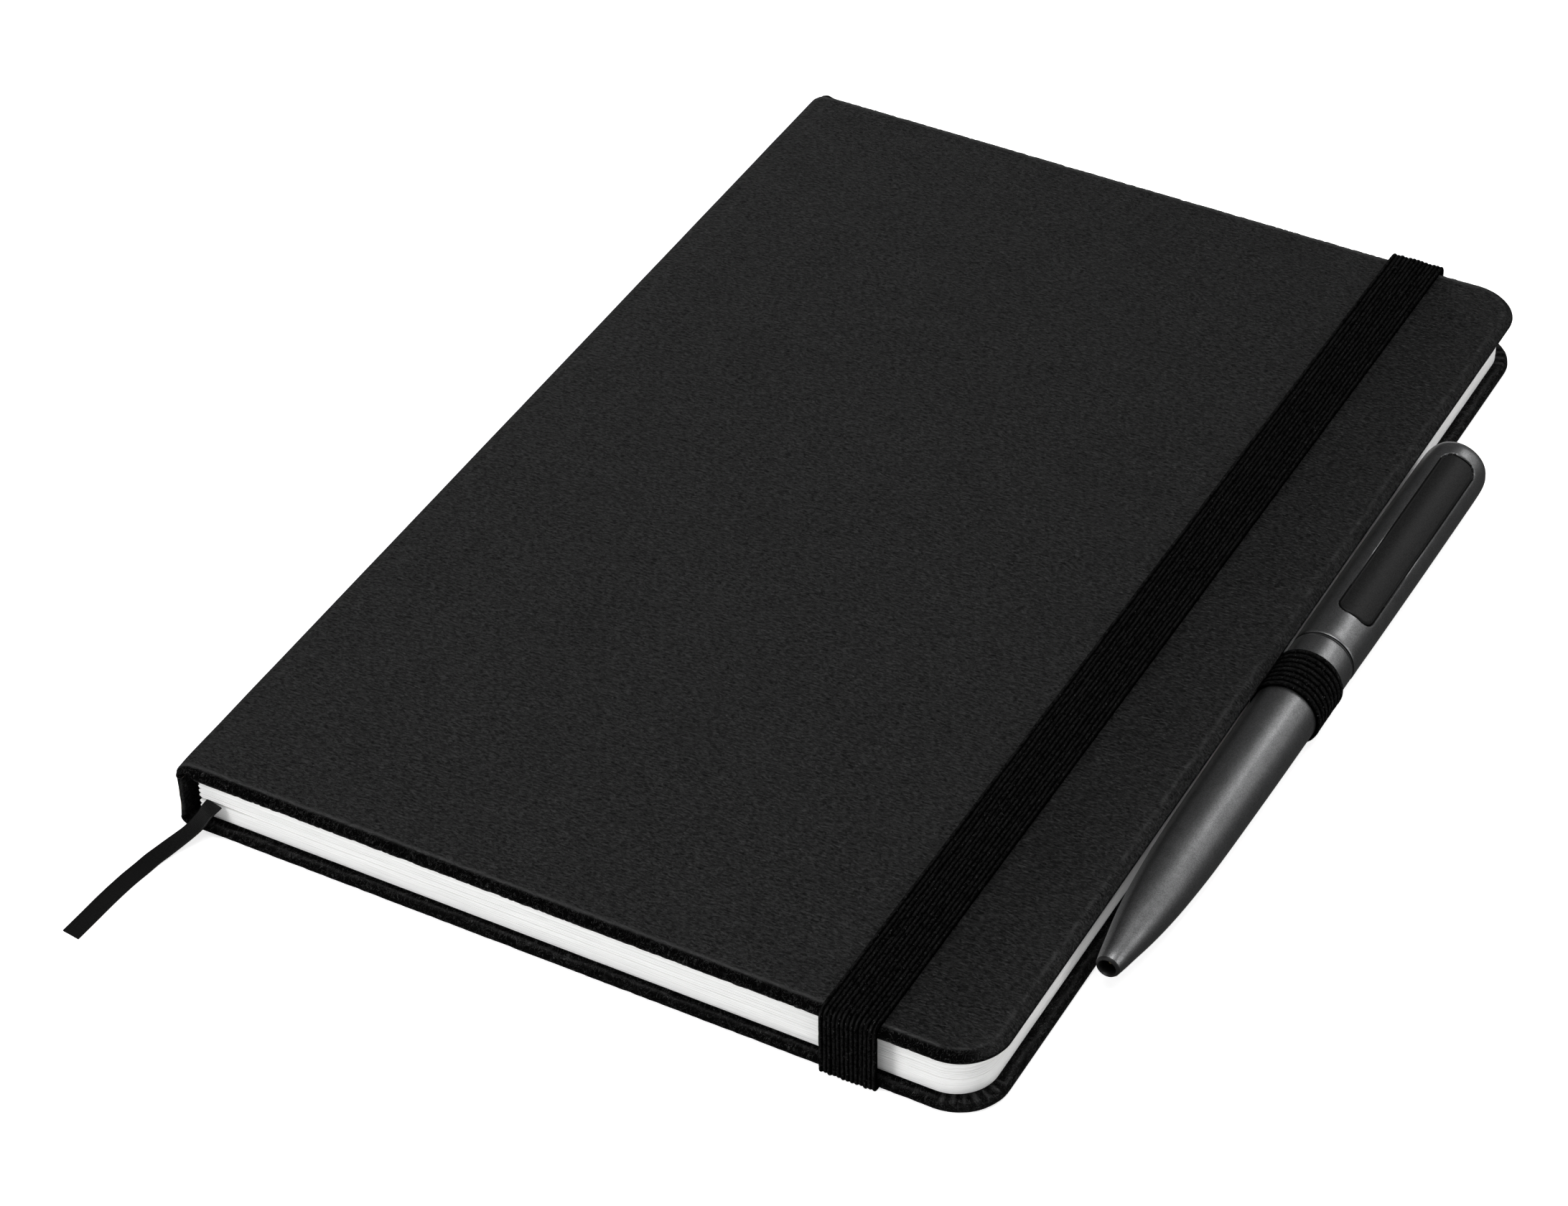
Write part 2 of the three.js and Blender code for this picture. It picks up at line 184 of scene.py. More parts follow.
def vertex_normals(p, faces):
    n = np.zeros_like(p)
    for k in sorted({len(f) for f in faces}):
        fs = np.array([f for f in faces if len(f) == k])
        if k > 8:
            for f in fs:
                q = p[f]
                v = np.cross(q - q[0], np.roll(q, -1, 0) - q[0]).sum(0)
                v /= np.linalg.norm(v) + 1e-12
                n[f] += v
            continue
        a = p[fs[:, 0]]
        area = np.zeros((len(fs), 3))
        for i in range(1, k - 1):
            area += np.cross(p[fs[:, i]] - a, p[fs[:, i + 1]] - a)
        for i in range(k):
            np.add.at(n, fs[:, i], area)
    return n / (np.linalg.norm(n, axis=1, keepdims=True) + 1e-12)


def make(name, p, faces, flat=None, facts=None, mat=None, smooth_shade=True, auto=None):
    """Object from book-mm points. flat is the per-point pattern coordinate in millimetres."""
    me = bpy.data.meshes.new(name)
    me.from_pydata([tuple(v) for v in row(p)], [], [list(map(int, f)) for f in faces])
    me.validate()
    me.update()
    ob = bpy.data.objects.new(name, me)
    bpy.context.scene.collection.objects.link(ob)
    a = me.attributes.new("flat", "FLOAT_VECTOR", "POINT")
    a.data.foreach_set("vector", np.asarray(p if flat is None else flat, np.float32).ravel())
    for k, v in (facts or {}).items():
        b = me.attributes.new(k, "FLOAT", "POINT")
        b.data.foreach_set("value", np.asarray(v, np.float32))
    if smooth_shade:
        me.polygons.foreach_set("use_smooth", [True] * len(me.polygons))
    if auto is not None:
        me.set_sharp_from_angle(angle=math.radians(auto))
    if mat is not None:
        me.materials.append(mat)
    me.update()
    return ob


def give(node, mat, flat=True):
    """A CAD node keeps its shape and gets a finish."""
    ob = NODES[node]
    ob.data.materials.clear()
    ob.data.materials.append(mat)
    return ob


# ---- materials ---------------------------------------------------------------------------------------
class Nodes:
    def __init__(self, name):
        self.mat = bpy.data.materials.new(name)
        self.mat.use_nodes = True
        self.t = self.mat.node_tree
        self.t.nodes.clear()
        self.out = self.t.nodes.new("ShaderNodeOutputMaterial")
        self.bsdf = self.t.nodes.new("ShaderNodeBsdfPrincipled")
        self.t.links.new(self.bsdf.outputs[0], self.out.inputs[0])

    def set(self, node, key, v):
        s = node.inputs[key]
        if isinstance(v, bpy.types.NodeSocket):
            self.t.links.new(v, s)
        elif v is not None:
            s.default_value = v

    def node(self, kind, outs=0, props=None, **ins):
        n = self.t.nodes.new("ShaderNode" + kind)
        for k, v in (props or {}).items():
            setattr(n, k, v)
        for k, v in ins.items():
            self.set(n, k.replace("_", " ") if k.replace("_", " ") in n.inputs else k, v)
        return n.outputs[outs]

    def attr(self, name, out="Vector"):
        n = self.t.nodes.new("ShaderNodeAttribute")
        n.attribute_name = name
        return n.outputs[out]

    def obj(self):
        n = self.t.nodes.new("ShaderNodeTexCoord")
        m = self.t.nodes.new("ShaderNodeVectorMath")
        m.operation = "MULTIPLY"
        self.t.links.new(n.outputs["Object"], m.inputs[0])
        m.inputs[1].default_value = (1000, 1000, 1000)
        return m.outputs[0]

    def scaled(self, vec, s, off=(0, 0, 0), rot=(0, 0, 0)):
        n = self.t.nodes.new("ShaderNodeMapping")
        self.t.links.new(vec, n.inputs[0])
        n.inputs["Location"].default_value = off
        n.inputs["Rotation"].default_value = rot
        n.inputs["Scale"].default_value = s
        return n.outputs[0]

    def noise(self, vec, scale, detail=3, rough=0.55, dist=0.0):
        n = self.t.nodes.new("ShaderNodeTexNoise")
        self.t.links.new(vec, n.inputs["Vector"])
        n.inputs["Scale"].default_value = scale
        n.inputs["Detail"].default_value = detail
        n.inputs["Roughness"].default_value = rough
        n.inputs["Distortion"].default_value = dist
        return n.outputs[0]

    def voronoi(self, vec, scale, feature="F1", out=0, rand=1.0, smoothness=None):
        n = self.t.nodes.new("ShaderNodeTexVoronoi")
        n.feature = feature
        self.t.links.new(vec, n.inputs["Vector"])
        n.inputs["Scale"].default_value = scale
        n.inputs["Randomness"].default_value = rand
        if smoothness is not None and "Smoothness" in n.inputs:
            n.inputs["Smoothness"].default_value = smoothness
        return n.outputs[out]

    def wave(self, vec, scale, axis="X", dist=0.0, dscale=1.0, profile="SIN"):
        n = self.t.nodes.new("ShaderNodeTexWave")
        n.wave_type = "BANDS"
        n.bands_direction = axis
        n.wave_profile = profile
        self.t.links.new(vec, n.inputs["Vector"])
        n.inputs["Scale"].default_value = scale
        n.inputs["Distortion"].default_value = dist
        n.inputs["Detail Scale"].default_value = dscale
        n.inputs["Detail"].default_value = 1.0
        return n.outputs[1]

    def math(self, op, a, b=0.0, c=None, clamp=False):
        n = self.t.nodes.new("ShaderNodeMath")
        n.operation = op
        n.use_clamp = clamp
        for i, v in enumerate((a, b) if c is None else (a, b, c)):
            if isinstance(v, bpy.types.NodeSocket):
                self.t.links.new(v, n.inputs[i])
            else:
                n.inputs[i].default_value = v
        return n.outputs[0]

    def ramp(self, fac, stops, interp="LINEAR"):
        n = self.t.nodes.new("ShaderNodeValToRGB")
        self.t.links.new(fac, n.inputs[0])
        r = n.color_ramp
        r.interpolation = interp
        while len(r.elements) < len(stops):
            r.elements.new(0.5)
        for e, (pos, col) in zip(r.elements, stops):
            e.position = pos
            e.color = (col, col, col, 1) if isinstance(col, (int, float)) else (*col, 1)
        return n.outputs[0]

    def mix(self, fac, a, b, kind="MIX"):
        n = self.t.nodes.new("ShaderNodeMix")
        n.data_type = "RGBA"
        n.blend_type = kind
        for key, v in ((0, fac), (6, a), (7, b)):
            if isinstance(v, bpy.types.NodeSocket):
                self.t.links.new(v, n.inputs[key])
            else:
                n.inputs[key].default_value = v if key == 0 else ((v, v, v, 1) if isinstance(v, (int, float)) else (*v, 1))
        return n.outputs[2]

    def bump(self, height, distance, strength=1.0, normal=None):
        n = self.t.nodes.new("ShaderNodeBump")
        n.inputs["Distance"].default_value = distance
        n.inputs["Strength"].default_value = strength
        self.t.links.new(height, n.inputs["Height"])
        if normal is not None:
            self.t.links.new(normal, n.inputs["Normal"])
        return n.outputs[0]

    def finish(self, color=None, rough=None, normal=None, metallic=0.0, spec=0.5, sheen=0.0, sheen_rough=0.4, sheen_tint=None, coat=0.0, coat_rough=0.3, aniso=0.0, subsurface=0.0):
        b = self.bsdf
        self.set(b, "Base Color", (color, color, color, 1) if isinstance(color, (int, float)) else ((*color, 1) if isinstance(color, tuple) else color))
        self.set(b, "Roughness", rough)
        if normal is not None:
            self.set(b, "Normal", normal)
        self.set(b, "Metallic", metallic)
        self.set(b, "Specular IOR Level", spec)
        self.set(b, "Sheen Weight", sheen)
        self.set(b, "Sheen Roughness", sheen_rough)
        if sheen_tint is not None:
            self.set(b, "Sheen Tint", (*sheen_tint, 1))
        self.set(b, "Coat Weight", coat)
        self.set(b, "Coat Roughness", coat_rough)
        self.set(b, "Anisotropic", aniso)
        return self.mat


def leather_material():
    """Fine black leatherette: small creased cells drawn out across the cover, with faint larger mottling."""
    n = Nodes("black_leatherette")
    v = n.attr("flat")
    # painted highlight: the edge fact lightens the leather and raises its specular level on the rims, the wrinkle and
    # pleat crowns and the spine's bend
    painted_highlight = n.attr("edge", "Fac")
    # mask for crumpled bump and painted shade, weaker under the painted highlight
    crumple_and_shade = n.math("MULTIPLY", n.attr("crumple_and_shade", "Fac"), n.math("SUBTRACT", 1.0, n.math("MULTIPLY", painted_highlight, 0.8), clamp=True), clamp=True)
    long_ = n.scaled(v, (0.55, 1.0, 1.0), rot=(0, 0, math.radians(-13)))
    bent = n.t.nodes.new("ShaderNodeVectorMath")
    bent.operation = "ADD"
    drift = n.t.nodes.new("ShaderNodeTexNoise")
    n.t.links.new(long_, drift.inputs["Vector"])
    drift.inputs["Scale"].default_value = 0.5
    drift.inputs["Detail"].default_value = 2
    n.t.links.new(long_, bent.inputs[0])
    n.t.links.new(drift.outputs[1], bent.inputs[1])
    w = bent.outputs[0]
    cells = n.voronoi(w, 2.3, "SMOOTH_F1", smoothness=0.3)
    creases = n.noise(w, 2.5, 5, 0.68, 0.5)
    pores = n.noise(v, 6.0, 2, 0.6)
    swell = n.noise(v, 0.16, 3, 0.5)
    patch = n.ramp(n.noise(v, 0.11, 3, 0.55), [(0.3, 0.55), (0.7, 1.0)])
    h = n.math("ADD", n.math("MULTIPLY", cells, 0.42), n.math("MULTIPLY", creases, 0.95))
    h = n.math("MULTIPLY", h, patch)
    h = n.math("ADD", h, n.math("MULTIPLY", pores, 0.18))
    crumple = n.noise(n.scaled(v, (1.5, 0.8, 1.0)), 0.95, 3, 0.55, 0.8)
    crumple = n.math("ABSOLUTE", n.math("SUBTRACT", crumple, 0.5))
    h = n.math("ADD", h, n.math("MULTIPLY", n.math("MULTIPLY", crumple, crumple_and_shade), 3.0))
    nrm = n.bump(h, 0.00044, 1.0)
    nrm = n.bump(swell, 0.00035, 0.35, nrm)
    streak = n.noise(n.scaled(v, (0.48, 1.2, 1.0), rot=(0, 0, math.radians(-13))), 2.5, 4, 0.7, 0.7)
    tone = n.math("ADD", n.math("MULTIPLY", streak, 0.8), n.math("MULTIPLY", n.noise(v, 0.06, 3), 0.2))
    col = n.ramp(tone, [(0.36, 0.0008), (0.50, 0.0032), (0.66, 0.0095)])
    speck = n.ramp(n.noise(v, 2.6, 1, 0.4), [(0.0, 0.0), (0.74, 0.0), (0.81, 0.07)])
    col = n.mix(1.0, col, speck, "ADD")
    # painted highlight: lighter grey on the rims and crowns
    col = n.mix(n.math("MULTIPLY", painted_highlight, 0.6), col, 0.026)
    # painted shade: the turned edges, the spine's end and the inner rims are drawn near black
    col = n.mix(n.math("MULTIPLY", crumple_and_shade, 0.85, clamp=True), col, 0.0012)
    rough = n.math("ADD", n.math("MULTIPLY", creases, 0.20), 0.34)
    rough = n.math("SUBTRACT", rough, n.math("MULTIPLY", crumple_and_shade, 0.08))
    glint = n.ramp(streak, [(0.36, 0.07), (0.50, 0.28), (0.64, 0.66)])
    glint = n.mix(n.math("MULTIPLY", painted_highlight, 0.8), glint, 0.85)
    scratch = n.ramp(crumple, [(0.0, 1.0), (0.010, 0.35), (0.024, 0.02), (0.5, 0.008)])
    spec = n.mix(n.math("MULTIPLY", crumple_and_shade, 1.0, clamp=True), glint, scratch)
    return n.finish(col, rough, nrm, spec=spec)


def elastic_material():
    """Ribbed woven elastic: rubber cords wrapped in fine yarn."""
    n = Nodes("woven_elastic")
    v = n.attr("flat")          # x across the cords, y along them
    # painted light and shade: cord crowns drawn lighter, valleys black
    crown_light = n.attr("edge", "Fac")  # 1 on the crown of a cord, 0 in the valley
    knit = n.voronoi(n.scaled(v, (2.4, 3.1, 1.0)), 1.0, "F1", rand=0.55)
    yarn = n.wave(n.scaled(v, (0.35, 1.0, 1.0), rot=(0, 0, 0.5)), 1.1, "Y", 1.5, 1.2)
    fuzz = n.noise(v, 6.0, 3, 0.65)
    h = n.math("ADD", n.math("MULTIPLY", knit, -0.8), n.math("MULTIPLY", yarn, 0.35))
    h = n.math("ADD", h, n.math("MULTIPLY", fuzz, 0.55))
    nrm = n.bump(h, 0.00016, 0.85)
    tuft = n.ramp(n.noise(n.scaled(v, (1.6, 1.0, 1.0)), 1.9, 3, 0.7), [(0.36, 0.10), (0.62, 1.0)])
    fac = n.math("MULTIPLY", n.math("POWER", crown_light, 1.8), tuft)
    # painted shade in the valleys between cords, painted light on their crowns
    col = n.mix(fac, 0.0001, 0.0062)
    lint = n.ramp(n.noise(v, 4.2, 1, 0.4), [(0.0, 0.0), (0.70, 0.0), (0.78, 0.05)])
    col = n.mix(1.0, col, lint, "ADD")
    return n.finish(col, 0.7, nrm, spec=n.math("MULTIPLY", fac, 0.17), sheen=0.0)


def ribbon_material():
    """Narrow satin ribbon with a fine cross rib."""
    n = Nodes("satin_ribbon")
    v = n.attr("flat")
    rib = n.wave(v, 1.25, "Y", 0.6, 2.0)
    warp_ = n.wave(v, 1.7, "X", 0.8, 2.0)
    fuzz = n.noise(v, 5.0, 3, 0.6)
    h = n.math("ADD", n.math("MULTIPLY", rib, 0.5), n.math("MULTIPLY", warp_, 0.3))
    h = n.math("ADD", h, n.math("MULTIPLY", fuzz, 0.4))
    nrm = n.bump(h, 0.00005, 0.6)
    col = n.ramp(fuzz, [(0.3, 0.0012), (0.7, 0.0045)])
    return n.finish(col, 0.5, nrm, spec=n.ramp(fuzz, [(0.3, 0.10), (0.7, 0.32)]), sheen=0.015, sheen_rough=0.35, sheen_tint=(0.6, 0.6, 0.62))


def paper_material(name="book_paper", edge=True):
    """Uncoated white paper: leaf lines on the trimmed edges, soft fibre on the faces."""
    n = Nodes(name)
    v = n.attr("flat")
    fibre = n.noise(v, 1.7, 5, 0.6)
    if edge:
        lines = n.noise(n.scaled(v, (0.05, 0.05, 9.0)), 1.0, 3, 0.7)
        groups = n.noise(n.scaled(v, (0.012, 0.012, 2.6)), 1.0, 2, 0.5)
        mixf = n.math("ADD", n.math("MULTIPLY", lines, 0.7), n.math("MULTIPLY", groups, 0.3))
        col = n.ramp(mixf, [(0.30, (0.56, 0.56, 0.555)), (0.42, (0.78, 0.78, 0.775)), (0.66, (0.86, 0.86, 0.855))])
        h = n.math("ADD", n.math("MULTIPLY", lines, 0.8), n.math("MULTIPLY", fibre, 0.2))
        nrm = n.bump(h, 0.00004, 0.5)
    else:
        col = n.ramp(fibre, [(0.3, (0.90, 0.898, 0.885)), (0.7, (0.93, 0.928, 0.918))])
        nrm = n.bump(fibre, 0.00003, 0.35)
    return n.finish(col, 0.88, nrm, spec=0.2)


def plain_paper_material():
    """Endpaper: heavier, slightly warm stock, mottled, for CAD nodes without a stored pattern."""
    n = Nodes("endpaper")
    v = n.obj()
    fibre = n.noise(v, 1.5, 5, 0.6)
    cloud = n.noise(v, 0.09, 3, 0.5)
    col = n.ramp(n.math("ADD", n.math("MULTIPLY", fibre, 0.6), n.math("MULTIPLY", cloud, 0.4)), [(0.3, (0.86, 0.855, 0.84)), (0.7, (0.91, 0.905, 0.892))])
    return n.finish(col, 0.9, n.bump(fibre, 0.00003, 0.35), spec=0.2)


def board_material():
    """Raw grey-brown binder's board with fibres and flecks."""
    n = Nodes("binders_board")
    v = n.obj()
    fibre = n.noise(n.scaled(v, (1.0, 0.3, 1.0)), 2.2, 6, 0.7)
    fleck = n.ramp(n.noise(v, 1.4, 2, 0.5), [(0.62, 0.0), (0.7, 0.12)])
    col = n.ramp(fibre, [(0.25, (0.20, 0.175, 0.145)), (0.75, (0.34, 0.30, 0.25))])
    col = n.mix(1.0, col, fleck, "ADD")
    return n.finish(col, 0.95, n.bump(fibre, 0.00012, 0.6), spec=0.15)


def lining_material():
    """Open-weave spine lining under a skin of glue."""
    n = Nodes("spine_mull")
    v = n.obj()
    a = n.wave(v, 0.55, "Y", 0.3, 1.0)
    b = n.wave(v, 0.55, "Z", 0.3, 1.0)
    weave = n.math("MAXIMUM", a, b)
    glue = n.noise(v, 0.5, 4, 0.6)
    col = n.ramp(n.math("ADD", n.math("MULTIPLY", weave, 0.7), n.math("MULTIPLY", glue, 0.3)), [(0.3, (0.42, 0.40, 0.35)), (0.75, (0.80, 0.78, 0.71))])
    rough = n.math("SUBTRACT", 0.9, n.math("MULTIPLY", glue, 0.35))
    return n.finish(col, rough, n.bump(weave, 0.0001, 0.7), spec=0.3)


def barrel_material():
    """Satin gunmetal lacquer with very fine metal flake."""
    n = Nodes("gunmetal_lacquer")
    v = n.attr("flat")
    flake = n.voronoi(v, 9.0, "F1", out=1)
    sep = n.t.nodes.new("ShaderNodeSeparateColor")
    n.t.links.new(flake, sep.inputs[0])
    f = sep.outputs[0]
    cloud = n.noise(v, 0.4, 3, 0.5)
    col = n.ramp(n.math("ADD", n.math("MULTIPLY", f, 0.55), n.math("MULTIPLY", cloud, 0.45)), [(0.15, (0.165, 0.166, 0.168)), (0.85, (0.33, 0.332, 0.335))])
    grain = n.noise(v, 5.0, 4, 0.6)
    rough = n.math("ADD", 0.335, n.math("MULTIPLY", grain, 0.14))
    return n.finish(col, rough, n.bump(n.math("ADD", f, grain), 0.000010, 0.5), metallic=1.0, spec=0.5, coat=0.22, coat_rough=0.16)


def clip_material():
    """Satin black lacquer on the clip."""
    n = Nodes("black_lacquer")
    v = n.attr("flat")
    grain = n.noise(v, 4.5, 4, 0.6)
    col = n.ramp(grain, [(0.3, 0.006), (0.7, 0.013)])
    rough = n.math("ADD", 0.42, n.math("MULTIPLY", grain, 0.14))
    return n.finish(col, rough, n.bump(grain, 0.000012, 0.5), spec=n.ramp(grain, [(0.3, 0.14), (0.7, 0.30)]))


# near-black finish of the joint ring, also used as painted shade in the nose bore and the clip pocket
def ring_and_shade_material():
    n = Nodes("dark_ring_and_shade")
    v = n.obj()
    g = n.noise(v, 4.0, 3, 0.6)
    return n.finish(n.ramp(g, [(0.3, 0.006), (0.7, 0.011)]), n.math("ADD", 0.4, n.math("MULTIPLY", g, 0.15)), n.bump(g, 0.00001, 0.4), spec=0.5)


def plastic_material():
    """Natural translucent-looking moulded plastic of the twist insert and refill."""
    n = Nodes("natural_plastic")
    v = n.obj()
    g = n.noise(v, 1.2, 3, 0.5)
    flow = n.wave(v, 0.25, "Y", 2.0, 1.0)
    col = n.ramp(n.math("ADD", n.math("MULTIPLY", g, 0.7), n.math("MULTIPLY", flow, 0.3)), [(0.2, (0.62, 0.63, 0.62)), (0.8, (0.78, 0.78, 0.76))])
    return n.finish(col, n.math("ADD", 0.32, n.math("MULTIPLY", g, 0.2)), n.bump(g, 0.00002, 0.4), spec=0.5)


def brass_material():
    n = Nodes("nickel_brass")
    v = n.obj()
    g = n.noise(n.scaled(v, (1, 6, 1)), 1.5, 4, 0.6)
    col = n.ramp(g, [(0.3, (0.55, 0.46, 0.26)), (0.7, (0.68, 0.58, 0.36))])
    return n.finish(col, n.math("ADD", 0.2, n.math("MULTIPLY", g, 0.16)), n.bump(g, 0.000012, 0.5), metallic=1.0)


def floor_material():
    n = Nodes("studio_floor")
    v = n.obj()
    g = n.noise(n.scaled(v, (0.01, 0.01, 0.01)), 1.0, 3, 0.5)
    col = n.ramp(g, [(0.3, 0.93), (0.7, 0.95)])
    m = n.finish(col, 0.95, None, spec=0.0)
    n.set(n.bsdf, "Emission Color", (1, 1, 1, 1))
    n.set(n.bsdf, "Emission Strength", FLOOR_GLOW)
    return m


FLOOR_GLOW = 0.74
LEATHER, ELASTIC, RIBBON_M = leather_material(), elastic_material(), ribbon_material()
PAPER, PAPER_FACE, ENDPAPER = paper_material(), paper_material("paper_face", False), plain_paper_material()
BOARD, LINING = board_material(), lining_material()
BARREL, CLIP_M, RING_AND_SHADE_M, PLASTIC, BRASS = barrel_material(), clip_material(), ring_and_shade_material(), plastic_material(), brass_material()

# ---- camera at the photograph's viewing angle ----------------------------------------------------------
cam_data = bpy.data.cameras.new("camera")
cam = bpy.data.objects.new("camera", cam_data)
bpy.context.scene.collection.objects.link(cam)
right = Vector((0.8795, 0.4758, -0.0109)).normalized()
fwd = Vector((-0.3706, 0.6703, -0.6429)).normalized()
up = right.cross(fwd).normalized()
right = fwd.cross(up).normalized()
cam.matrix_world = Matrix((
    (right.x, up.x, -fwd.x, 0.2624), (right.y, up.y, -fwd.y, -0.5108), (right.z, up.z, -fwd.z, 0.4759), (0, 0, 0, 1)))
cam_data.lens, cam_data.sensor_width = 103.92, 36.0
cam_data.clip_start, cam_data.clip_end = 0.01, 50
bpy.context.scene.camera = cam

# ---- leather covers ---------------------------------------------------------------------------------------
# A cover's edge, from the middle of its outer face round to its turned-in inner face: d inward from the outline,
# h below the outer face. The leather rolls over the board with a soft shoulder, a hollow and a rounded lower lip.
FRONT_EDGE = [(8.4, 0), (7.2, 0), (6.0, 0), (4.9, 0), (4.0, 0), (3.3, 0), (2.8, 0), (2.4, 0), (2.1, -0.005), (1.85, -0.015), (1.62, -0.02),
              (1.42, -0.005), (1.24, 0.045), (1.06, 0.135), (0.88, 0.27), (0.72, 0.43), (0.58, 0.60), (0.44, 0.76), (0.29, 0.90),
              (0.15, 1.04), (0.05, 1.19), (0.0, 1.35), (0.03, 1.51), (0.14, 1.65), (0.32, 1.755), (0.56, 1.81), (0.9, 1.83), (1.5, 1.83), (2.5, 1.83),
              (4.2, 1.83), (8.2, 1.83), (8.3, 1.6)]
BACK_EDGE = [(8.4, 0), (6.6, 0), (5.0, 0), (3.6, 0), (2.6, 0), (1.9, 0.0), (1.5, 0.01), (1.15, 0.05), (0.84, 0.13), (0.58, 0.25), (0.36, 0.40), (0.18, 0.59),
             (0.06, 0.80), (0.0, 1.02), (0.0, 1.22), (0.04, 1.42), (0.12, 1.60), (0.25, 1.77), (0.42, 1.91), (0.62, 2.02), (0.86, 2.10), (1.12, 2.14),
             (1.4, 2.15), (1.75, 2.145), (2.2, 2.13), (2.8, 2.12), (3.6, 2.12), (5.0, 2.12), (8.2, 2.12), (8.3, 1.9)]
ARC = 30


def cover(cols, section, edge, thick, rows_y, x_end=CX):
    """A cover's leather from column list cols (distance along the section) to the fore-edge, as one welded sheet.
    section(u) gives (x, z, nx, nz): the outer face and its outward direction. thick(u) scales the edge's depth."""
    b = Build(("d", "h", "s", "side", "fx", "fy", "fz"))
    u = np.array(cols)
    X, Z, NX, NZ = (np.array(a) for a in zip(*[section(v) for v in u]))
    k = np.array([thick(v) for v in u])
    D = np.array([e[0] for e in edge])
    H = np.array([e[1] for e in edge])
    run = np.concatenate([[0], np.cumsum(np.hypot(np.diff(D), np.diff(H)))])
    run_flat = run - run[0]                       # distance along the edge's own surface
    ny = len(rows_y)
    # middle
    Y = np.array(rows_y)
    P = np.zeros((len(u), ny, 3))
    P[..., 0], P[..., 1], P[..., 2] = X[:, None], Y[None, :], Z[:, None]
    U = np.repeat(u[:, None], ny, 1)
    up_side = NZ[len(NZ) // 2] > 0
    b.grid(P, flip=not up_side, d=8.4, s=0, side=-1, fx=U, fy=np.repeat(Y[None, :], len(u), 0), fz=0)
    # tail and head strips
    for side, sgn, y0 in ((0, 1, 0.0), (2, -1, L)):
        hh = H[None, :] * k[:, None]
        Q = np.zeros((len(u), len(D), 3))
        Q[..., 0] = X[:, None] - NX[:, None] * hh
        Q[..., 2] = Z[:, None] - NZ[:, None] * hh
        Q[..., 1] = y0 + sgn * D[None, :]
        fyv = y0 + sgn * (R - run_flat)[None, :]
        b.grid(Q, flip=(side == 0) == up_side, d=np.repeat(D[None, :], len(u), 0), h=hh, s=np.repeat(u[:, None], len(D), 1), side=side,
               fx=np.repeat(u[:, None], len(D), 1), fy=np.repeat(fyv, len(u), 0) if fyv.shape[0] == 1 else fyv, fz=0)
    # fore-edge strip
    zo = Z[-1]
    sz = NZ[-1]
    kk = k[-1]
    Q = np.zeros((ny, len(D), 3))
    Q[..., 0] = W - D[None, :]
    Q[..., 1] = Y[:, None]
    Q[..., 2] = zo - sz * H[None, :] * kk
    b.grid(Q, flip=up_side, d=np.repeat(D[None, :], ny, 0), h=np.repeat(H[None, :] * kk, ny, 0), s=np.repeat(Y[:, None], len(D), 1), side=1,
           fx=np.repeat((CX + run_flat)[None, :], ny, 0), fy=np.repeat(Y[:, None], len(D), 1), fz=0)
    # corner fans
    for side, cy, a0 in ((3, R, -90.0), (4, L - R, 0.0)):
        A = np.radians(a0 + np.linspace(0, 90, ARC + 1))
        Rr = R - D
        Q = np.zeros((ARC + 1, len(D), 3))
        Q[..., 0] = CX + Rr[None, :] * np.cos(A)[:, None]
        Q[..., 1] = cy + Rr[None, :] * np.sin(A)[:, None]
        Q[..., 2] = zo - sz * H[None, :] * kk
        rf = run_flat[None, :]
        b.grid(Q, flip=up_side, d=np.repeat(D[None, :], ARC + 1, 0), h=np.repeat(H[None, :] * kk, ARC + 1, 0), s=np.repeat((A * R)[:, None], len(D), 1), side=side,
               fx=CX + rf * np.cos(A)[:, None], fy=cy + rf * np.sin(A)[:, None], fz=0)
    return b.welded()


def wrinkles(s, q, seed, pitch=1.25, slant=0.35):
    """Short creases across a turned edge: sharp valleys, rounded crowns, from about -1 to 0.4."""
    a = noise(s / pitch + slant * q, q / 1.7, 0, seed)
    c = noise(s / (pitch * 0.52) - slant * q, q / 0.9, 3.3, seed + 5)
    r = 1 - np.abs(a) * 2.2
    return -np.clip(r, 0, 1) ** 1.5 + 0.35 * c


# front cover with the spine, in one piece of leather
def front_section(u):
    if u >= R_SP:
        return (u, T, 0.0, 1.0)
    a = (R_SP - u) / R_SP
    if a <= math.pi / 2:
        return (R_SP - R_SP * math.sin(a), T - R_SP + R_SP * math.cos(a), -math.sin(a), math.cos(a))
    v = (a - math.pi / 2) * R_SP
    tall = T - 2 * R_SP
    if v <= tall:
        return (0.0, T - R_SP - v, -1.0, 0.0)
    b = (v - tall) / R_SP
    if b <= math.pi / 2:
        return (R_SP - R_SP * math.cos(b), R_SP - R_SP * math.sin(b), -math.cos(b), -math.sin(b))
    w = (b - math.pi / 2) * R_SP
    return (R_SP + w, 0.0, 0.0, -1.0)


def front_thick(u):
    """Share of the edge depth: full over the boards, less in the soft bends."""
    on_top = float(smooth(2.6, 4.4, u))
    on_spine = float(smooth(-0.6, -1.9, u) * smooth(-9.9, -8.4, u))
    return 0.50 + 0.50 * on_top + 0.47 * on_spine


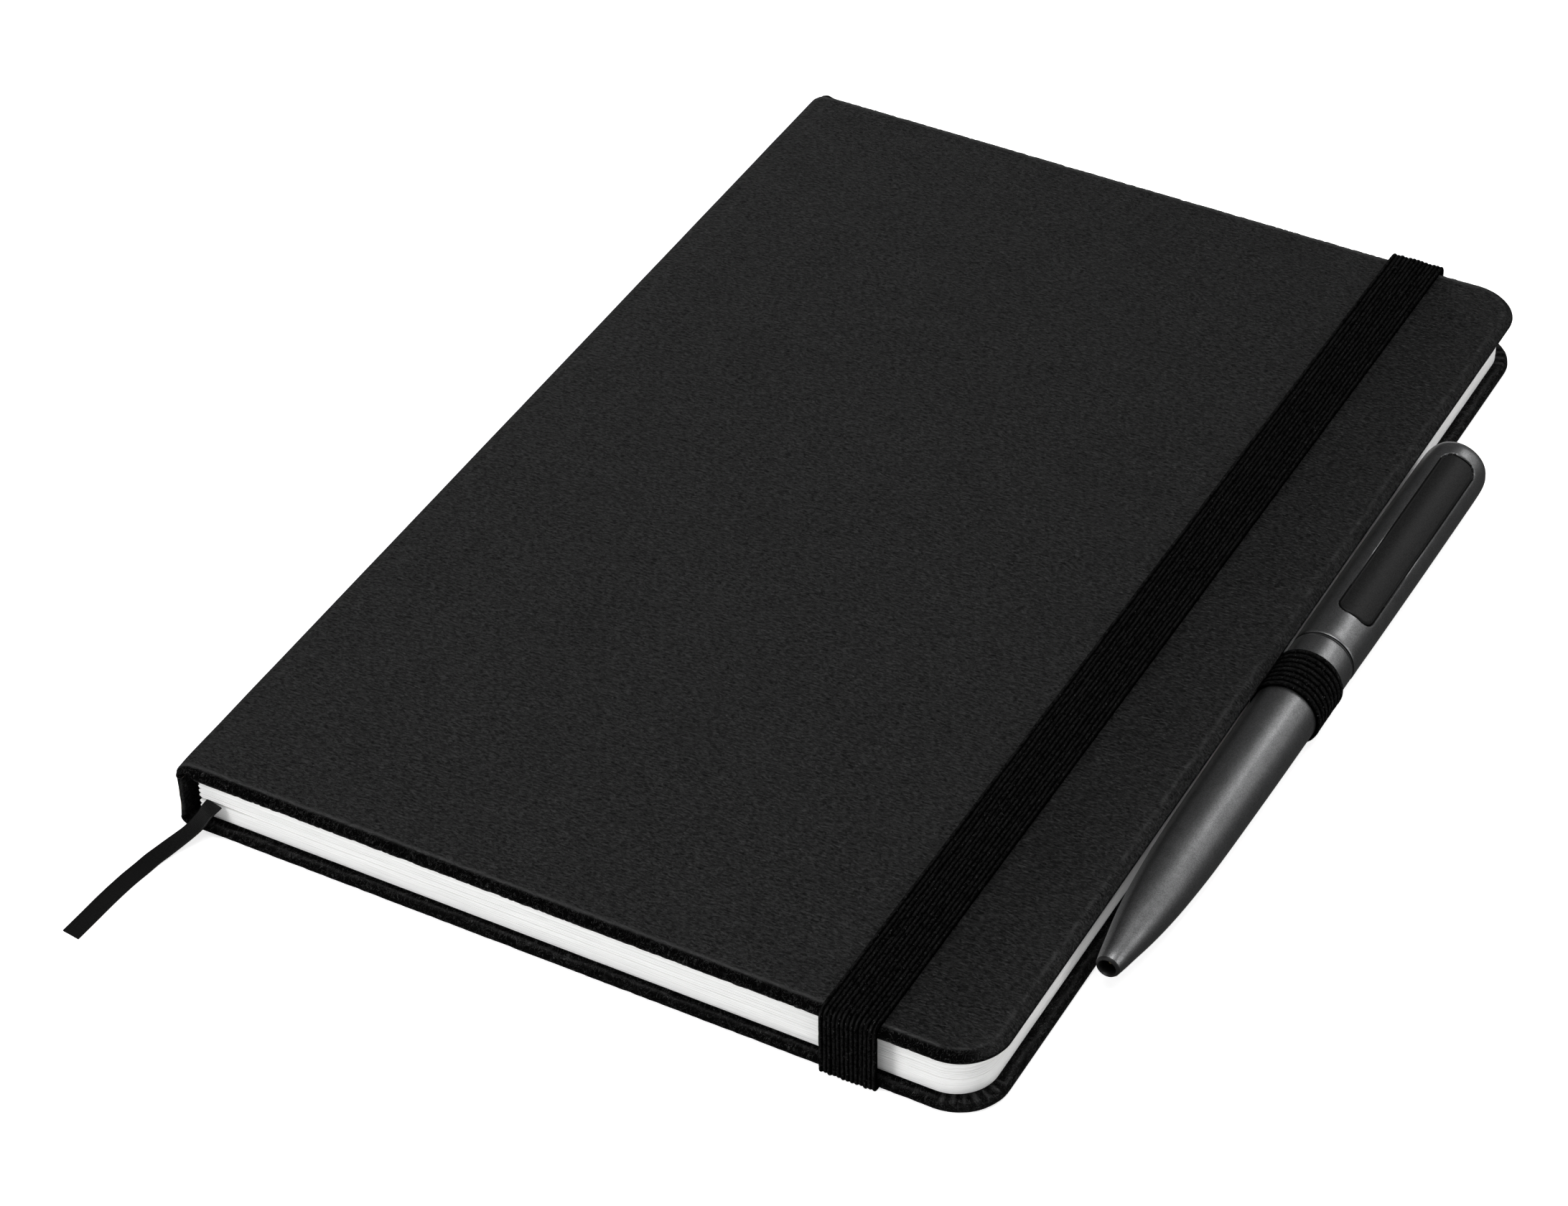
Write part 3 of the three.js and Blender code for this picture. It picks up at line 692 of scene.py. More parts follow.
arc_len = R_SP * math.pi / 2
u_low = R_SP - 2 * arc_len - (T - 2 * R_SP)
front_cols = (spread(u_low - 0.95, u_low, 0.5)[:-1] + spread(u_low, u_low + arc_len, 0.33)[:-1] + spread(u_low + arc_len, R_SP - arc_len, 0.45)[:-1]
              + spread(R_SP - arc_len, R_SP, 0.13)[:-1] + spread(R_SP, 6.0, 0.3)[:-1] + spread(6.0, CX, 0.34))
front_rows = spread(R, L - R, 0.95)
p, faces, F = cover(front_cols, front_section, FRONT_EDGE, front_thick, front_rows)
n = vertex_normals(p, faces)
d, h, s, side = F["d"], F["h"], F["s"], F["side"]
fx, fy = F["fx"], F["fy"]
q = h + (1.4 - np.clip(d, 0, 1.4))
on_edge = bell(d, 0.85, 0.95) * (h < 1.0) + bell(d, 0.1, 0.5) * 0.5 * (h >= 1.0)
disp = np.zeros(len(p))
is_tail = (side == 0) | (side == 2)
strength = np.where(side == 0, 0.30 + 0.75 * smooth(4, 14, s) * (1 - 0.55 * smooth(58, 92, s)) + 0.25 * bell(s, 104, 9) + 0.30 * bell(s, 126, 4), 0.55)
disp += is_tail * on_edge * strength * 0.21 * wrinkles(s, q, 3, 1.1)
disp += is_tail * bell(d, 1.5, 0.5) * (h < 0.5) * strength * 0.07 * noise(s / 2.1, d / 0.8, 0, 9)
is_fore = (side == 1)
disp += is_fore * bell(d, 1.25, 0.5) * (h < 0.6) * 0.035 * wrinkles(s, q, 21, 1.5)
is_corner = (side == 3) | (side == 4)
disp += is_corner * bell(d, 0.5, 0.5) * 0.03 * noise(s / 1.2, q, 0, 31)
# spine: soft waves in the leather over the board's ends, and a slightly hollow middle
on_sp = (fx < 1.0) & (fx > u_low)
disp += on_sp * smooth(40, 0, np.minimum(fy, L - fy)) * 0.03 * noise(fx / 2.5, fy / 6.0, 0, 41)
disp += 0.022 * fbm(fx / 19.0, fy / 16.0, 0, 51, 2) * smooth(1.0, 4.0, d)
disp -= 0.26 * np.clip(1 - fx / 7.5, 0, 1.0) ** 2 * smooth(-0.5, 2.0, fx) * (h < 0.3)
disp += 0.05 * bell(fx, 2.9, 1.3) * (-1) * smooth(2.0, 9.0, np.minimum(fy, L - fy)) * (h < 0.3)      # faint joint groove beside the spine
p = p + n * disp[:, None]
# the cap at head and tail: the leather dips in a little between the spine and the board
edge_y = np.minimum(p[:, 1], L - p[:, 1])
capdip = bell(fx, 0.9, 1.2) * bell(edge_y, 0, 2.2) * (h < 1.3)
p[:, 2] -= 0.28 * capdip
p[:, 0] += 0.10 * capdip
# painted highlight: a lighter line on the shoulder inside the outline, along the spine's bend, on the tail and head
# wrinkle crowns and on the lower lip
painted_highlight = np.clip(bell(d, 1.62, 0.30) * (h < 0.5) * np.where(is_tail, 1.0, 0.35 + 0.6 * noise(s / 0.75, d / 0.6, 0, 81)) + bell(fx, -0.6, 1.4) * 0.22 * (0.5 + 0.5 * noise(fy / 1.6, fx / 0.8, 0, 77)), 0, 1)
ridge_highlight = smooth(-0.02, 0.28, wrinkles(s, q, 3, 1.1)) * smooth(1.5, 1.1, d)
painted_highlight = np.clip(painted_highlight + is_tail * ridge_highlight * np.clip(0.35 + strength, 0, 1) * 0.55 * (0.5 + 0.5 * noise(s / 0.6, q / 0.5, 0, 78)) * np.where(h < 0.75, 1.0, 0.45)
               + is_tail * bell(h, 1.45, 0.22) * (d < 0.3) * (0.45 + 0.3 * noise(s / 0.8, 0, 0, 80)), 0, 1)
# mask for crumpled bump and painted shade: the tail and head edges, the spine's end, the lower lip and underside rim
# are drawn near black; the fore-edge roll is not
crumple_and_shade = np.clip(smooth(1.5, 1.15, d) * (h < 1.25) + (0.85 + 0 * d) * (h >= 1.25), 0, 1) * np.where(is_tail, 1.0, np.where(h > 1.15, 1.0, np.where(is_fore, 0.0, 0.0 + 1.0 * smooth(-0.2 * R, -1.1 * R, np.where(side == 3, s, -s + R * math.pi / 2 - R * math.pi / 2)))))
front_leather = make("front_leather", p, faces, flat=np.stack([fx, fy, -h], 1), facts={"edge": painted_highlight, "crumple_and_shade": crumple_and_shade}, mat=LEATHER)
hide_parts("front_skin", "spine_skin")
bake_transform(front_leather)


# back cover
def back_section(u):
    return (u, 0.0, 0.0, -1.0)


bx0, bx1 = BAND_X - BAND_W / 2, BAND_X + BAND_W / 2
back_cols = spread(3.3, 8.0, 0.6)[:-1] + spread(8.0, 110.5, 0.62)[:-1] + spread(110.5, 126.0, 0.3)[:-1] + spread(126.0, CX, 0.62)
back_rows = spread(R, 17.0, 0.45)[:-1] + spread(17.0, L - 17.0, 2.2)[:-1] + spread(L - 17.0, L - R, 0.45)
p, faces, F = cover(back_cols, back_section, BACK_EDGE, lambda u: 1.0, back_rows)
n = vertex_normals(p, faces)
d, h, s, side = F["d"], F["h"], F["s"], F["side"]
fx, fy = F["fx"], F["fy"]
is_tail, is_fore, is_corner = (side == 0) | (side == 2), side == 1, (side == 3) | (side == 4)
q = h + np.where(h > 1.2, np.clip(d, 0, 3), 1.2 - np.clip(d, 0, 1.2))
disp = np.zeros(len(p))
rim = bell(d, 0.8, 0.75) * (h > 1.3)
outer = bell(d, 0.1, 0.5) * (h > 0.3)
disp += is_tail * (rim * 0.12 + outer * 0.07) * wrinkles(s, q, 63, 1.6, 0.5) * np.where(side == 0, 1.0, 0.7)
lineq = 0.95 + 0.22 * noise(s / 7.0, 0, 0, 71) + 0.10 * noise(s / 2.2, 0, 0, 72)
disp += (is_tail | is_fore) * (h > 1.3) * 0.10 * (bell(d, lineq, 0.16) - 0.7 * bell(d, lineq + 0.38, 0.2))
disp += is_fore * rim * 0.05 * wrinkles(s, q, 83, 2.2, 0.6)
# pleats where the leather is gathered round the two fore-edge corners, on the inner face
ang = s / R - np.where(side == 4, 0.0, -math.pi / 2)
phase = ang * 6.6 * 2 / (math.pi / 2) * math.pi / 2
pleat = np.abs(np.sin(phase + 0.35 * noise(d / 1.1, ang * 2, 0, 91))) ** 0.6
disp += is_corner * (h > 1.7) * smooth(0.2, 0.75, d) * smooth(6.5, 3.8, d) * 0.30 * (pleat - 0.75)
disp += is_corner * (h > 1.3) * 0.07 * bell(d, 0.85, 0.2)
disp += is_corner * outer * 0.03 * noise(s / 1.1, q, 0, 95)
# hollows that the elastic's ends lie in, on the underside
xb = (p[:, 1] / L - 0.5) * BAND_SLANT
under = (h < 0.9)
across = smooth(bx0 + xb - 0.42, bx0 + xb - 0.08, p[:, 0]) * smooth(bx1 + xb + 0.42, bx1 + xb + 0.08, p[:, 0])
along = np.maximum(smooth(BAND_SLOT + 1.5, BAND_SLOT + 1.1, p[:, 1]), smooth(L - BAND_SLOT - 1.5, L - BAND_SLOT - 1.1, p[:, 1]))
p = p + n * disp[:, None]
p[:, 2] = np.where(under, np.maximum(p[:, 2], across * along * 0.93), p[:, 2])
p[:, 2] = np.maximum(p[:, 2], 0.0)
# painted highlight: a lighter line along the inner rim, faintly on the outer roll, on the pleat crowns at the corners
# and on the wrinkle crowns at tail and head
painted_highlight = np.clip(bell(d, lineq, 0.3) * (h > 1.3) * (is_tail | is_fore) * 0.45 + outer * 0.04, 0, 1)
folds = is_corner * (h > 1.7) * smooth(0.25, 0.7, d) * smooth(6.0, 4.0, d) * smooth(0.86, 0.99, pleat) * 0.8
ridge_highlight = smooth(0.10, 0.32, wrinkles(s, q, 63, 1.6, 0.5)) * is_tail * np.clip(rim * 0.9 + outer * 0.5, 0, 1) * (0.5 + 0.5 * noise(s / 0.6, q / 0.5, 0, 79))
painted_highlight = np.clip(painted_highlight + folds + ridge_highlight * 0.5, 0, 1)
# mask for crumpled bump and painted shade: the back cover's side and inner rim are drawn near black
crumple_and_shade = np.clip(smooth(3.2, 1.9, d) * (h > 1.2) + (h > 0.25) * (h <= 1.2), 0, 1) * np.where(is_tail, 1.0, 0.85)
back_leather = make("back_leather", p, faces, flat=np.stack([fx, fy, h + 40.0], 1), facts={"edge": painted_highlight, "crumple_and_shade": crumple_and_shade}, mat=LEATHER)
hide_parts("back_skin")
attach(back_leather, "book")

for node in ("back_board", "spine_board"):
    give(node, BOARD)
give("spine_lining", LINING)


# ---- paper ---------------------------------------------------------------------------------------------------
XE, YS, R_PAGE, SIG_X0 = 137.2, 1.95, 6.8, 3.3
PCX = XE - R_PAGE


def leaf_stack(name, z0, z1, leaves, seed, x0=SIG_X0, fold=True, lift=None, mat=PAPER, jit=0.035, cols_near=None, xe=XE, ys0=YS, r_page=R_PAGE):
    """A stack of leaves cut flush: every leaf shows at tail, fore-edge and head, and folds turn round at the spine."""
    rng = np.random.RandomState(seed)
    XE, YS, R_PAGE, PCX = xe, ys0, r_page, xe - r_page
    rows, off = [], []
    t = (z1 - z0) / leaves
    for i in range(leaves):
        o = rng.uniform(-jit, jit)
        a, c = z0 + i * t, z0 + (i + 1) * t
        rows += [a + 0.02 * t, a + (0.10 * t), c - 0.10 * t]
        off += [-0.05 if i else -0.02, o, o]
    rows.append(z1)
    off.append(-0.03)
    rows, off = np.array(rows), np.array(off)
    rows[0] = z0
    m = len(rows)
    zm, hh = (z0 + z1) / 2, (z1 - z0) / 2
    if fold:
        xf = x0 + 0.62 * (1 - np.sqrt(np.clip(1 - ((rows - zm) / (hh * 1.02)) ** 2, 0, 1))) + 0.02 * rng.uniform(-1, 1, m)
    else:
        xf = np.full(m, x0)
    xs = np.array(cols_near or (spread(x0 + 0.75, x0 + 6.0, 0.4)[:-1] + spread(x0 + 6.0, x0 + 14, 1.0)[:-1] + spread(x0 + 14, PCX, 1.7)))
    b = Build(("k",))

    def strip(pts_xy, nrm, first_x=None):
        """pts_xy (n,2) along the cut edge, nrm (n,2) outward."""
        P = np.zeros((len(pts_xy), m, 3))
        s_ = np.concatenate([[0], np.cumsum(np.hypot(*np.diff(pts_xy, axis=0).T))])
        for j in range(m):
            wob = off[j] + 0.012 * noise(s_ / 4.0 + 7 * j, 0.3 * j, 0, seed + 1)
            P[:, j, 0] = pts_xy[:, 0] + nrm[:, 0] * wob
            P[:, j, 1] = pts_xy[:, 1] + nrm[:, 1] * wob
            P[:, j, 2] = rows[j]
        return P

    tail_xy = np.stack([xs, np.full(len(xs), YS)], 1)
    tail_n = np.tile([0.0, -1.0], (len(xs), 1))
    A = np.radians(np.linspace(-90, 0, 15))[1:]
    c1 = np.stack([PCX + R_PAGE * np.cos(A), YS + R_PAGE + R_PAGE * np.sin(A)], 1)
    c1n = np.stack([np.cos(A), np.sin(A)], 1)
    ys = np.array(spread(YS + R_PAGE, L - YS - R_PAGE, 1.9))[1:-1]
    fe = np.stack([np.full(len(ys), XE), ys], 1)
    fen = np.tile([1.0, 0.0], (len(ys), 1))
    c2 = np.stack([PCX + R_PAGE * np.cos(-A[::-1]), L - YS - R_PAGE + R_PAGE * np.sin(-A[::-1])], 1)
    c2n = np.stack([np.cos(-A[::-1]), np.sin(-A[::-1])], 1)
    head_xy = np.stack([xs[::-1], np.full(len(xs), L - YS)], 1)
    head_n = np.tile([0.0, 1.0], (len(xs), 1))
    xy = np.concatenate([tail_xy, c1, fe, c2, head_xy])
    nn = np.concatenate([tail_n, c1n, fen, c2n, head_n])
    P = strip(xy, nn)
    # fold columns at both ends
    A0 = P[0].copy(); A0[:, 0] = xf
    B0 = P[-1].copy(); B0[:, 0] = xf
    P = np.concatenate([A0[None], P, B0[None]])
    ids = b.grid(P, k=0)
    # spine side: folds running along y
    yy = np.array([0.0] + spread(0.004, 0.996, 0.0415) + [1.0])
    F_ = A0[None] * (1 - yy)[:, None, None] + B0[None] * yy[:, None, None]
    inner = slice(1, -1)
    F_[inner, :, 0] += 0.03 * noise(np.arange(len(yy))[inner, None] * 1.7, rows[None, :] * 2.0, 0, seed + 3)
    b.grid(F_, flip=True, k=0)
    ncol = len(xs) + 1
    N = len(P)
    for j, flip in ((0, True), (m - 1, False)):
        for i in range(ncol - 1):
            b.face([ids[i, j], ids[i + 1, j], ids[N - 2 - i, j], ids[N - 1 - i, j]], flip=flip)
        loop = [ids[i, j] for i in range(ncol - 1, N - ncol + 1)]
        b.face(loop, flip=flip)
    p, faces, _ = b.welded(1e-4)
    flat = p.copy()
    if lift is not None:
        p = p.copy()
        p[:, 2] += lift(p)
    ob_ = make(name, p, faces, flat=flat + [0, 0, seed * 3.7], mat=mat, smooth_shade=True, auto=40)
    # the leaf lines belong to the cut edges; the open faces are flat, plain paper
    if mat is PAPER:
        ob_.data.materials.append(PAPER_FACE)
    for poly in ob_.data.polygons:
        if abs(poly.normal.z) > 0.995:
            poly.use_smooth = False
            if mat is PAPER:
                poly.material_index = 1
    return ob_


SIG_T, SIG_GAP, SIG_Z0, RIB_GAP = 0.88, 0.03, 2.52, 0.36
sig_z = [SIG_Z0 + i * (SIG_T + SIG_GAP) + (RIB_GAP - SIG_GAP if i >= 3 else 0) for i in range(8)]
for i in range(8):
    z0 = sig_z[i]

    def lift(p, i=i, z0=z0):
        # the leaves close up again beside the bookmark
        near = smooth(9.0, 14.5, p[:, 0])
        t_ = (p[:, 2] - z0) / SIG_T
        if i == 2:
            return near * t_ * (RIB_GAP - 0.06) * 0.5
        if i == 3:
            return -near * (1 - t_) * (RIB_GAP - 0.06) * 0.5
        return 0.0 * t_
    ob = leaf_stack(f"leaves_{i + 1}", z0, z0 + SIG_T, 9, 101 + i, lift=lift, jit=0.03)
    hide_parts(f"signature_{i + 1}")
    if i < 7:
        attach(ob, "book")
    else:
        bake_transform(ob)

ob = leaf_stack("front_board_slab", 10.95, 11.6, 3, 133, x0=4.3, fold=False, mat=BOARD, xe=W - 1.6, ys0=1.6, r_page=6.8)
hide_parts("front_board"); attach(ob, "front_cover")
fly_z = sig_z[7] + SIG_T + 0.03
ob = leaf_stack("front_flyleaf_sheet", fly_z, fly_z + 0.1, 1, 131, x0=3.7, fold=False, jit=0.0)
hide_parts("front_flyleaf")
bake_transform(ob)
ob = leaf_stack("back_flyleaf_sheet", 2.365, 2.475, 1, 132, x0=4.2, fold=False, jit=0.0)
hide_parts("back_flyleaf"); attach(ob, "book")


def pastedown(name, x_start, z_face, up, hinge=None, mat=None):
    """Endpaper glued to the inside of a cover, sunk a little where the turned-in leather ends. up: +1 faces up."""
    b = Build()
    m = 3.5
    xs = ([v[0] for v in hinge] if hinge else []) + spread(x_start, 9.0, 0.6)[:-1] + spread(9.0, CX - 0.5, 2.2)
    zs_h = {round(v[0], 3): v[1] for v in (hinge or [])}
    r = 5.0
    def z_at(x, y):
        win = smooth(9.6, 11.0, np.minimum(np.minimum(y, L - y), W - x))
        return z_face - up * 0.16 * win
    ys = [m, m + 1.0, 6.5, 8.0, 9.0, 9.5, 10.0, 10.5, 11.0, 12.0] + spread(14, L - 14, 9.0) + [L - v for v in (12.0, 11.0, 10.5, 10.0, 9.5, 9.0, 8.0, 6.5, m + 1.0, m)]
    X = np.array(xs)
    Y = np.array(ys)
    PX, PY = np.meshgrid(X, Y, indexing="ij")
    PZ = z_at(PX, PY)
    for i, x in enumerate(X):
        if round(float(x), 3) in zs_h:
            PZ[i, :] = zs_h[round(float(x), 3)]
    P = np.stack([PX, PY, PZ], -1)
    top = b.grid(P, flip=up < 0)
    # fore-edge end with its two rounded corners
    x1 = W - m
    last = X[-1]
    cols = spread(last, x1, 0.7)
    for a, c in zip(cols[:-1], cols[1:]):
        pass
    GX, V = np.meshgrid(np.array(cols), np.linspace(0, 1, len(Y)), indexing="ij")
    inset = np.where(GX > x1 - r, r - np.sqrt(np.clip(r * r - (GX - (x1 - r)) ** 2, 0, None)), 0)
    base = (Y - m) / (L - 2 * m)
    GY = (m + inset) + base[None, :] * (L - 2 * m - 2 * inset)
    G = np.stack([GX, GY, z_at(GX, GY)], -1)
    b.grid(G, flip=up < 0)
    p, faces, _ = b.welded()
    ob = make(name, p, faces, mat=mat)
    sol = ob.modifiers.new("sheet", "SOLIDIFY")
    sol.thickness = 0.00011
    sol.offset = -1
    sol.use_even_offset = False
    return ob


def applied(ob):
    dg = bpy.context.evaluated_depsgraph_get()
    me = bpy.data.meshes.new_from_object(ob.evaluated_get(dg))
    ob.modifiers.clear()
    ob.data = me
    return ob


ob = applied(pastedown("back_endpaper", 4.2, 2.28, 1, mat=PAPER_FACE))
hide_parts("back_pastedown"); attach(ob, "book")
ob = applied(pastedown("front_endpaper", 4.6, 10.27, -1, hinge=[(3.02, 9.55), (3.08, 9.85), (3.22, 10.08), (3.5, 10.22), (3.95, 10.27)], mat=PAPER_FACE))
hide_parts("front_pastedown")
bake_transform(ob)


# ---- elastic closure --------------------------------------------------------------------------------------------
CORDS = 13


def strap_section(width, thick, cords, per=7, valley=0.26, round_ends=True):
    """Closed section of a ribbed strap: (across, height) with height 0 at the inner face. Also the crown share."""
    pts, crown = [], []
    pitch = width / cords
    nn = cords * per
    for i in range(nn + 1):
        a = -width / 2 + width * i / nn
        c = abs(math.sin(math.pi * (a + width / 2) / pitch))
        pair = 0.5 + 0.5 * math.cos(math.pi * (a + width / 2) / pitch)
        e = min(1.0, (width / 2 - abs(a)) / (0.42 * pitch))
        shell = math.sqrt(max(0.0, 1 - (1 - e) ** 2))
        hgt = thick * ((1 - valley) + valley * c ** 0.7) * (0.45 + 0.55 * shell)
        pts.append((a, hgt))
        crown.append(c * shell)
    for i in range(1, 12):
        a = width / 2 - width * i / 12
        pts.append((a, 0.0))
        crown.append(0.3)
    return np.array(pts), np.array(crown)


def strap(name, path, normal, width, thick, cords, seed, cap=True, wander=0.05, per=7, closed=False, valley=0.26, inner=0.0):
    """Ribbed strap along path (n,3) with outward normals (n,3) and x-like side direction from their cross product."""
    sec, crown = strap_section(width, thick, cords, per, valley)
    path, normal = np.asarray(path, float), np.asarray(normal, float)
    tan = np.gradient(path, axis=0)
    if closed:
        tan = (np.roll(path, -1, 0) - np.roll(path, 1, 0))
    tan /= np.linalg.norm(tan, axis=1, keepdims=True)
    side = np.cross(tan, normal)
    side /= np.linalg.norm(side, axis=1, keepdims=True)
    run = np.concatenate([[0], np.cumsum(np.linalg.norm(np.diff(path, axis=0), axis=1))])
    P = np.zeros((len(path), len(sec), 3))
    a, hgt = sec[:, 0][None, :], sec[:, 1][None, :]
    cord = np.floor((a + width / 2) / (width / cords))
    top = (sec[:, 1] > 0)[None, :]
    sway = wander * noise(run[:, None] / 5.0, cord * 0.31, 0, seed) + 0.45 * wander * noise(run[:, None] / 1.3, cord * 1.7, 0, seed + 2)
    lump = 1 + top * (0.06 * noise(run[:, None] / 0.9, cord * 3.1, 0, seed + 3) + 0.06 * noise(run[:, None] / 6, cord * 0.9, 0, seed + 4) - 0.10 * (np.mod(cord, 2) == 1) * (_hash(cord.astype(np.int64), cord.astype(np.int64) * 0, cord.astype(np.int64) * 0, seed) > 0.35))
    aa = a + sway * (1 - (np.abs(a) / (width / 2)) ** 6)
    P = path[:, None, :] + side[:, None, :] * aa[..., None] + normal[:, None, :] * (inner + hgt * lump)[..., None]
    b = Build(("cr", "fa", "fb", "fc"))
    acr = np.broadcast_to(crown[None, :], aa.shape)
    peri = np.concatenate([[0], np.cumsum(np.hypot(*np.diff(sec, axis=0).T))])
    ids = b.grid(P, close_j=True, close_i=closed, cr=acr, fa=np.broadcast_to(peri[None, :], aa.shape), fb=np.broadcast_to(run[:, None], aa.shape), fc=0)
    if cap and not closed:
        b.face(ids[0], flip=False)
        b.face(ids[-1], flip=True)
    p = np.concatenate(b.p)
    F_ = {k: np.concatenate(v) for k, v in b.facts.items()}
    # faces outward
    fs = b.f
    nrm = vertex_normals(p, fs)
    k = np.argmax(P.reshape(-1, 3) @ normal[len(normal) // 2])
    if nrm[k] @ normal[len(normal) // 2] < 0:
        fs = [f[::-1] for f in fs]
    # the crown share becomes painted light on the crowns and painted shade in the valleys
    return make(name, p, fs, flat=np.stack([F_["fa"], F_["fb"], F_["fc"] + seed * 2.3], 1), facts={"edge": F_["cr"]}, mat=ELASTIC)


def band_point(y, z):
    return [BAND_X + (y / L - 0.5) * BAND_SLANT, y, z]


def arc_pts(cy, cz, r, a0, a1, n_):
    out = []
    for i in range(n_ + 1):
        a = math.radians(a0 + (a1 - a0) * i / n_)
        out.append(((cy + r * math.cos(a), cz + r * math.sin(a)), (math.cos(a), math.sin(a))))
    return out


# inner line of the band: up the tail edge, over the front cover, down the head edge
RI = 0.75
yt, zt = -0.08, T + 0.06
prof = [((yt, z), (-1, 0)) for z in spread(0.93, zt - RI, 0.35)[:-1]]
prof += arc_pts(yt + RI, zt - RI, RI, 180, 90, 9)
prof += [((y, zt), (0, 1)) for y in spread(yt + RI, L - yt - RI, 0.8)[1:-1]]
prof += arc_pts(L - yt - RI, zt - RI, RI, 90, 0, 9)
prof += [((L - yt, z), (1, 0)) for z in spread(zt - RI, 0.93, 0.35)[1:]]
path = [band_point(y, z) for (y, z), _ in prof]
nrm_ = [(0, a, c) for _, (a, c) in prof]
band = strap("elastic_strap", path, nrm_, BAND_W, BAND_T, CORDS, 201)
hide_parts("elastic_band")
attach(band, "elastic")
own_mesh(band)

for k_, (nm, node) in enumerate((("strap_end_tail", "band_anchor_tail"), ("strap_end_head", "band_anchor_head"))):
    f = (lambda y: y) if k_ == 0 else (lambda y: L - y)
    g = 1 if k_ == 0 else -1
    pr = [((-0.08, 0.915), (-1, 0)), ((-0.08, 0.86), (-1, 0))]
    for i in range(1, 9):
        a = math.radians(180 + 90 * i / 8)
        pr.append(((-0.08 + 0.02 + 0.02 * math.cos(a), 0.86 + 0.02 * math.sin(a)), (math.cos(a), math.sin(a))))
    pr += [((y, 0.84), (0, -1)) for y in spread(0.4, BAND_SLOT - 0.2, 0.8)]
    for i in range(1, 7):
        a = math.radians(-90 + 90 * i / 6)
        pr.append(((BAND_SLOT - 0.2 + 0.25 * math.sin(math.radians(90 * i / 6)), 0.84 + 0.25 * (1 - math.cos(math.radians(90 * i / 6)))), (math.cos(a), math.sin(a))))
    pr += [((BAND_SLOT + 0.05, z), (1, 0)) for z in (1.25, 1.45, 1.6)]
    path = [band_point(f(y), z) for (y, z), _ in pr]
    nn = [(0, g * a, c) for _, (a, c) in pr]
    end = strap(nm, path, nn, BAND_W, 0.83, CORDS, 201, wander=0.02)
    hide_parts(node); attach(end, "book")

# ---- pen ------------------------------------------------------------------------------------------------------------
PM = Matrix.Translation(Vector(rowpt(PEN["x"], PEN["y"], PEN["z"]))) @ Matrix.Rotation(PEN["turn"], 4, "Z")


def pen_points(lx, y, lz):
    """Pen-local: lx towards +X, y in book millimetres along the pen, lz up. Returned in book millimetres."""
    c, s_ = math.cos(PEN["turn"]), math.sin(PEN["turn"])
    dy = np.asarray(y, float) - PEN["y"]
    return np.stack([PEN["x"] + lx * c - dy * s_, PEN["y"] + lx * s_ + dy * c, PEN["z"] + lz + 0 * dy], -1)


def rounded_profile(pts, rad=0.06):
    """Adds a small fillet at each inner corner of a profile, so that edges catch light."""
    out = [pts[0]]
    for a, b_, c in zip(pts[:-2], pts[1:-1], pts[2:]):
        a_, b2, c_ = np.array(a), np.array(b_), np.array(c)
        u_, v_ = a_ - b2, c_ - b2
        lu, lv = np.linalg.norm(u_), np.linalg.norm(v_)
        cosang = (u_ @ v_) / (lu * lv + 1e-9)
        if cosang > -0.94:
            t_ = min(rad, 0.4 * lu, 0.4 * lv)
            p1, p2 = b2 + u_ / lu * t_, b2 + v_ / lv * t_
            for w_ in (0, 0.33, 0.67, 1):
                out.append(tuple((1 - w_) ** 2 * p1 + 2 * w_ * (1 - w_) * b2 + w_ ** 2 * p2))
        else:
            out.append(b_)
    out.append(pts[-1])
    return out


def curve_profile(pts, step):
    """A smooth centripetal curve through profile points."""
    P = [np.array(q_, float) for q_ in pts]
    P = [2 * P[0] - P[1]] + P + [2 * P[-1] - P[-2]]
    out = []
    for i in range(1, len(P) - 2):
        p0, p1, p2, p3 = P[i - 1:i + 3]
        seg = np.linalg.norm(p2 - p1)
        n_ = max(1, int(seg / step))
        t0 = 0.0
        t1 = t0 + np.linalg.norm(p1 - p0) ** 0.5
        t2 = t1 + np.linalg.norm(p2 - p1) ** 0.5
        t3 = t2 + np.linalg.norm(p3 - p2) ** 0.5
        for j in range(n_):
            t = t1 + (t2 - t1) * j / n_
            A1 = (t1 - t) / (t1 - t0) * p0 + (t - t0) / (t1 - t0) * p1
            A2 = (t2 - t) / (t2 - t1) * p1 + (t - t1) / (t2 - t1) * p2
            A3 = (t3 - t) / (t3 - t2) * p2 + (t - t2) / (t3 - t2) * p3
            B1 = (t2 - t) / (t2 - t0) * A1 + (t - t0) / (t2 - t0) * A2
            B2 = (t3 - t) / (t3 - t1) * A2 + (t - t1) / (t3 - t1) * A3
            out.append(tuple((t2 - t) / (t2 - t1) * B1 + (t - t1) / (t2 - t1) * B2))
    out.append(tuple(pts[-1]))
    return out


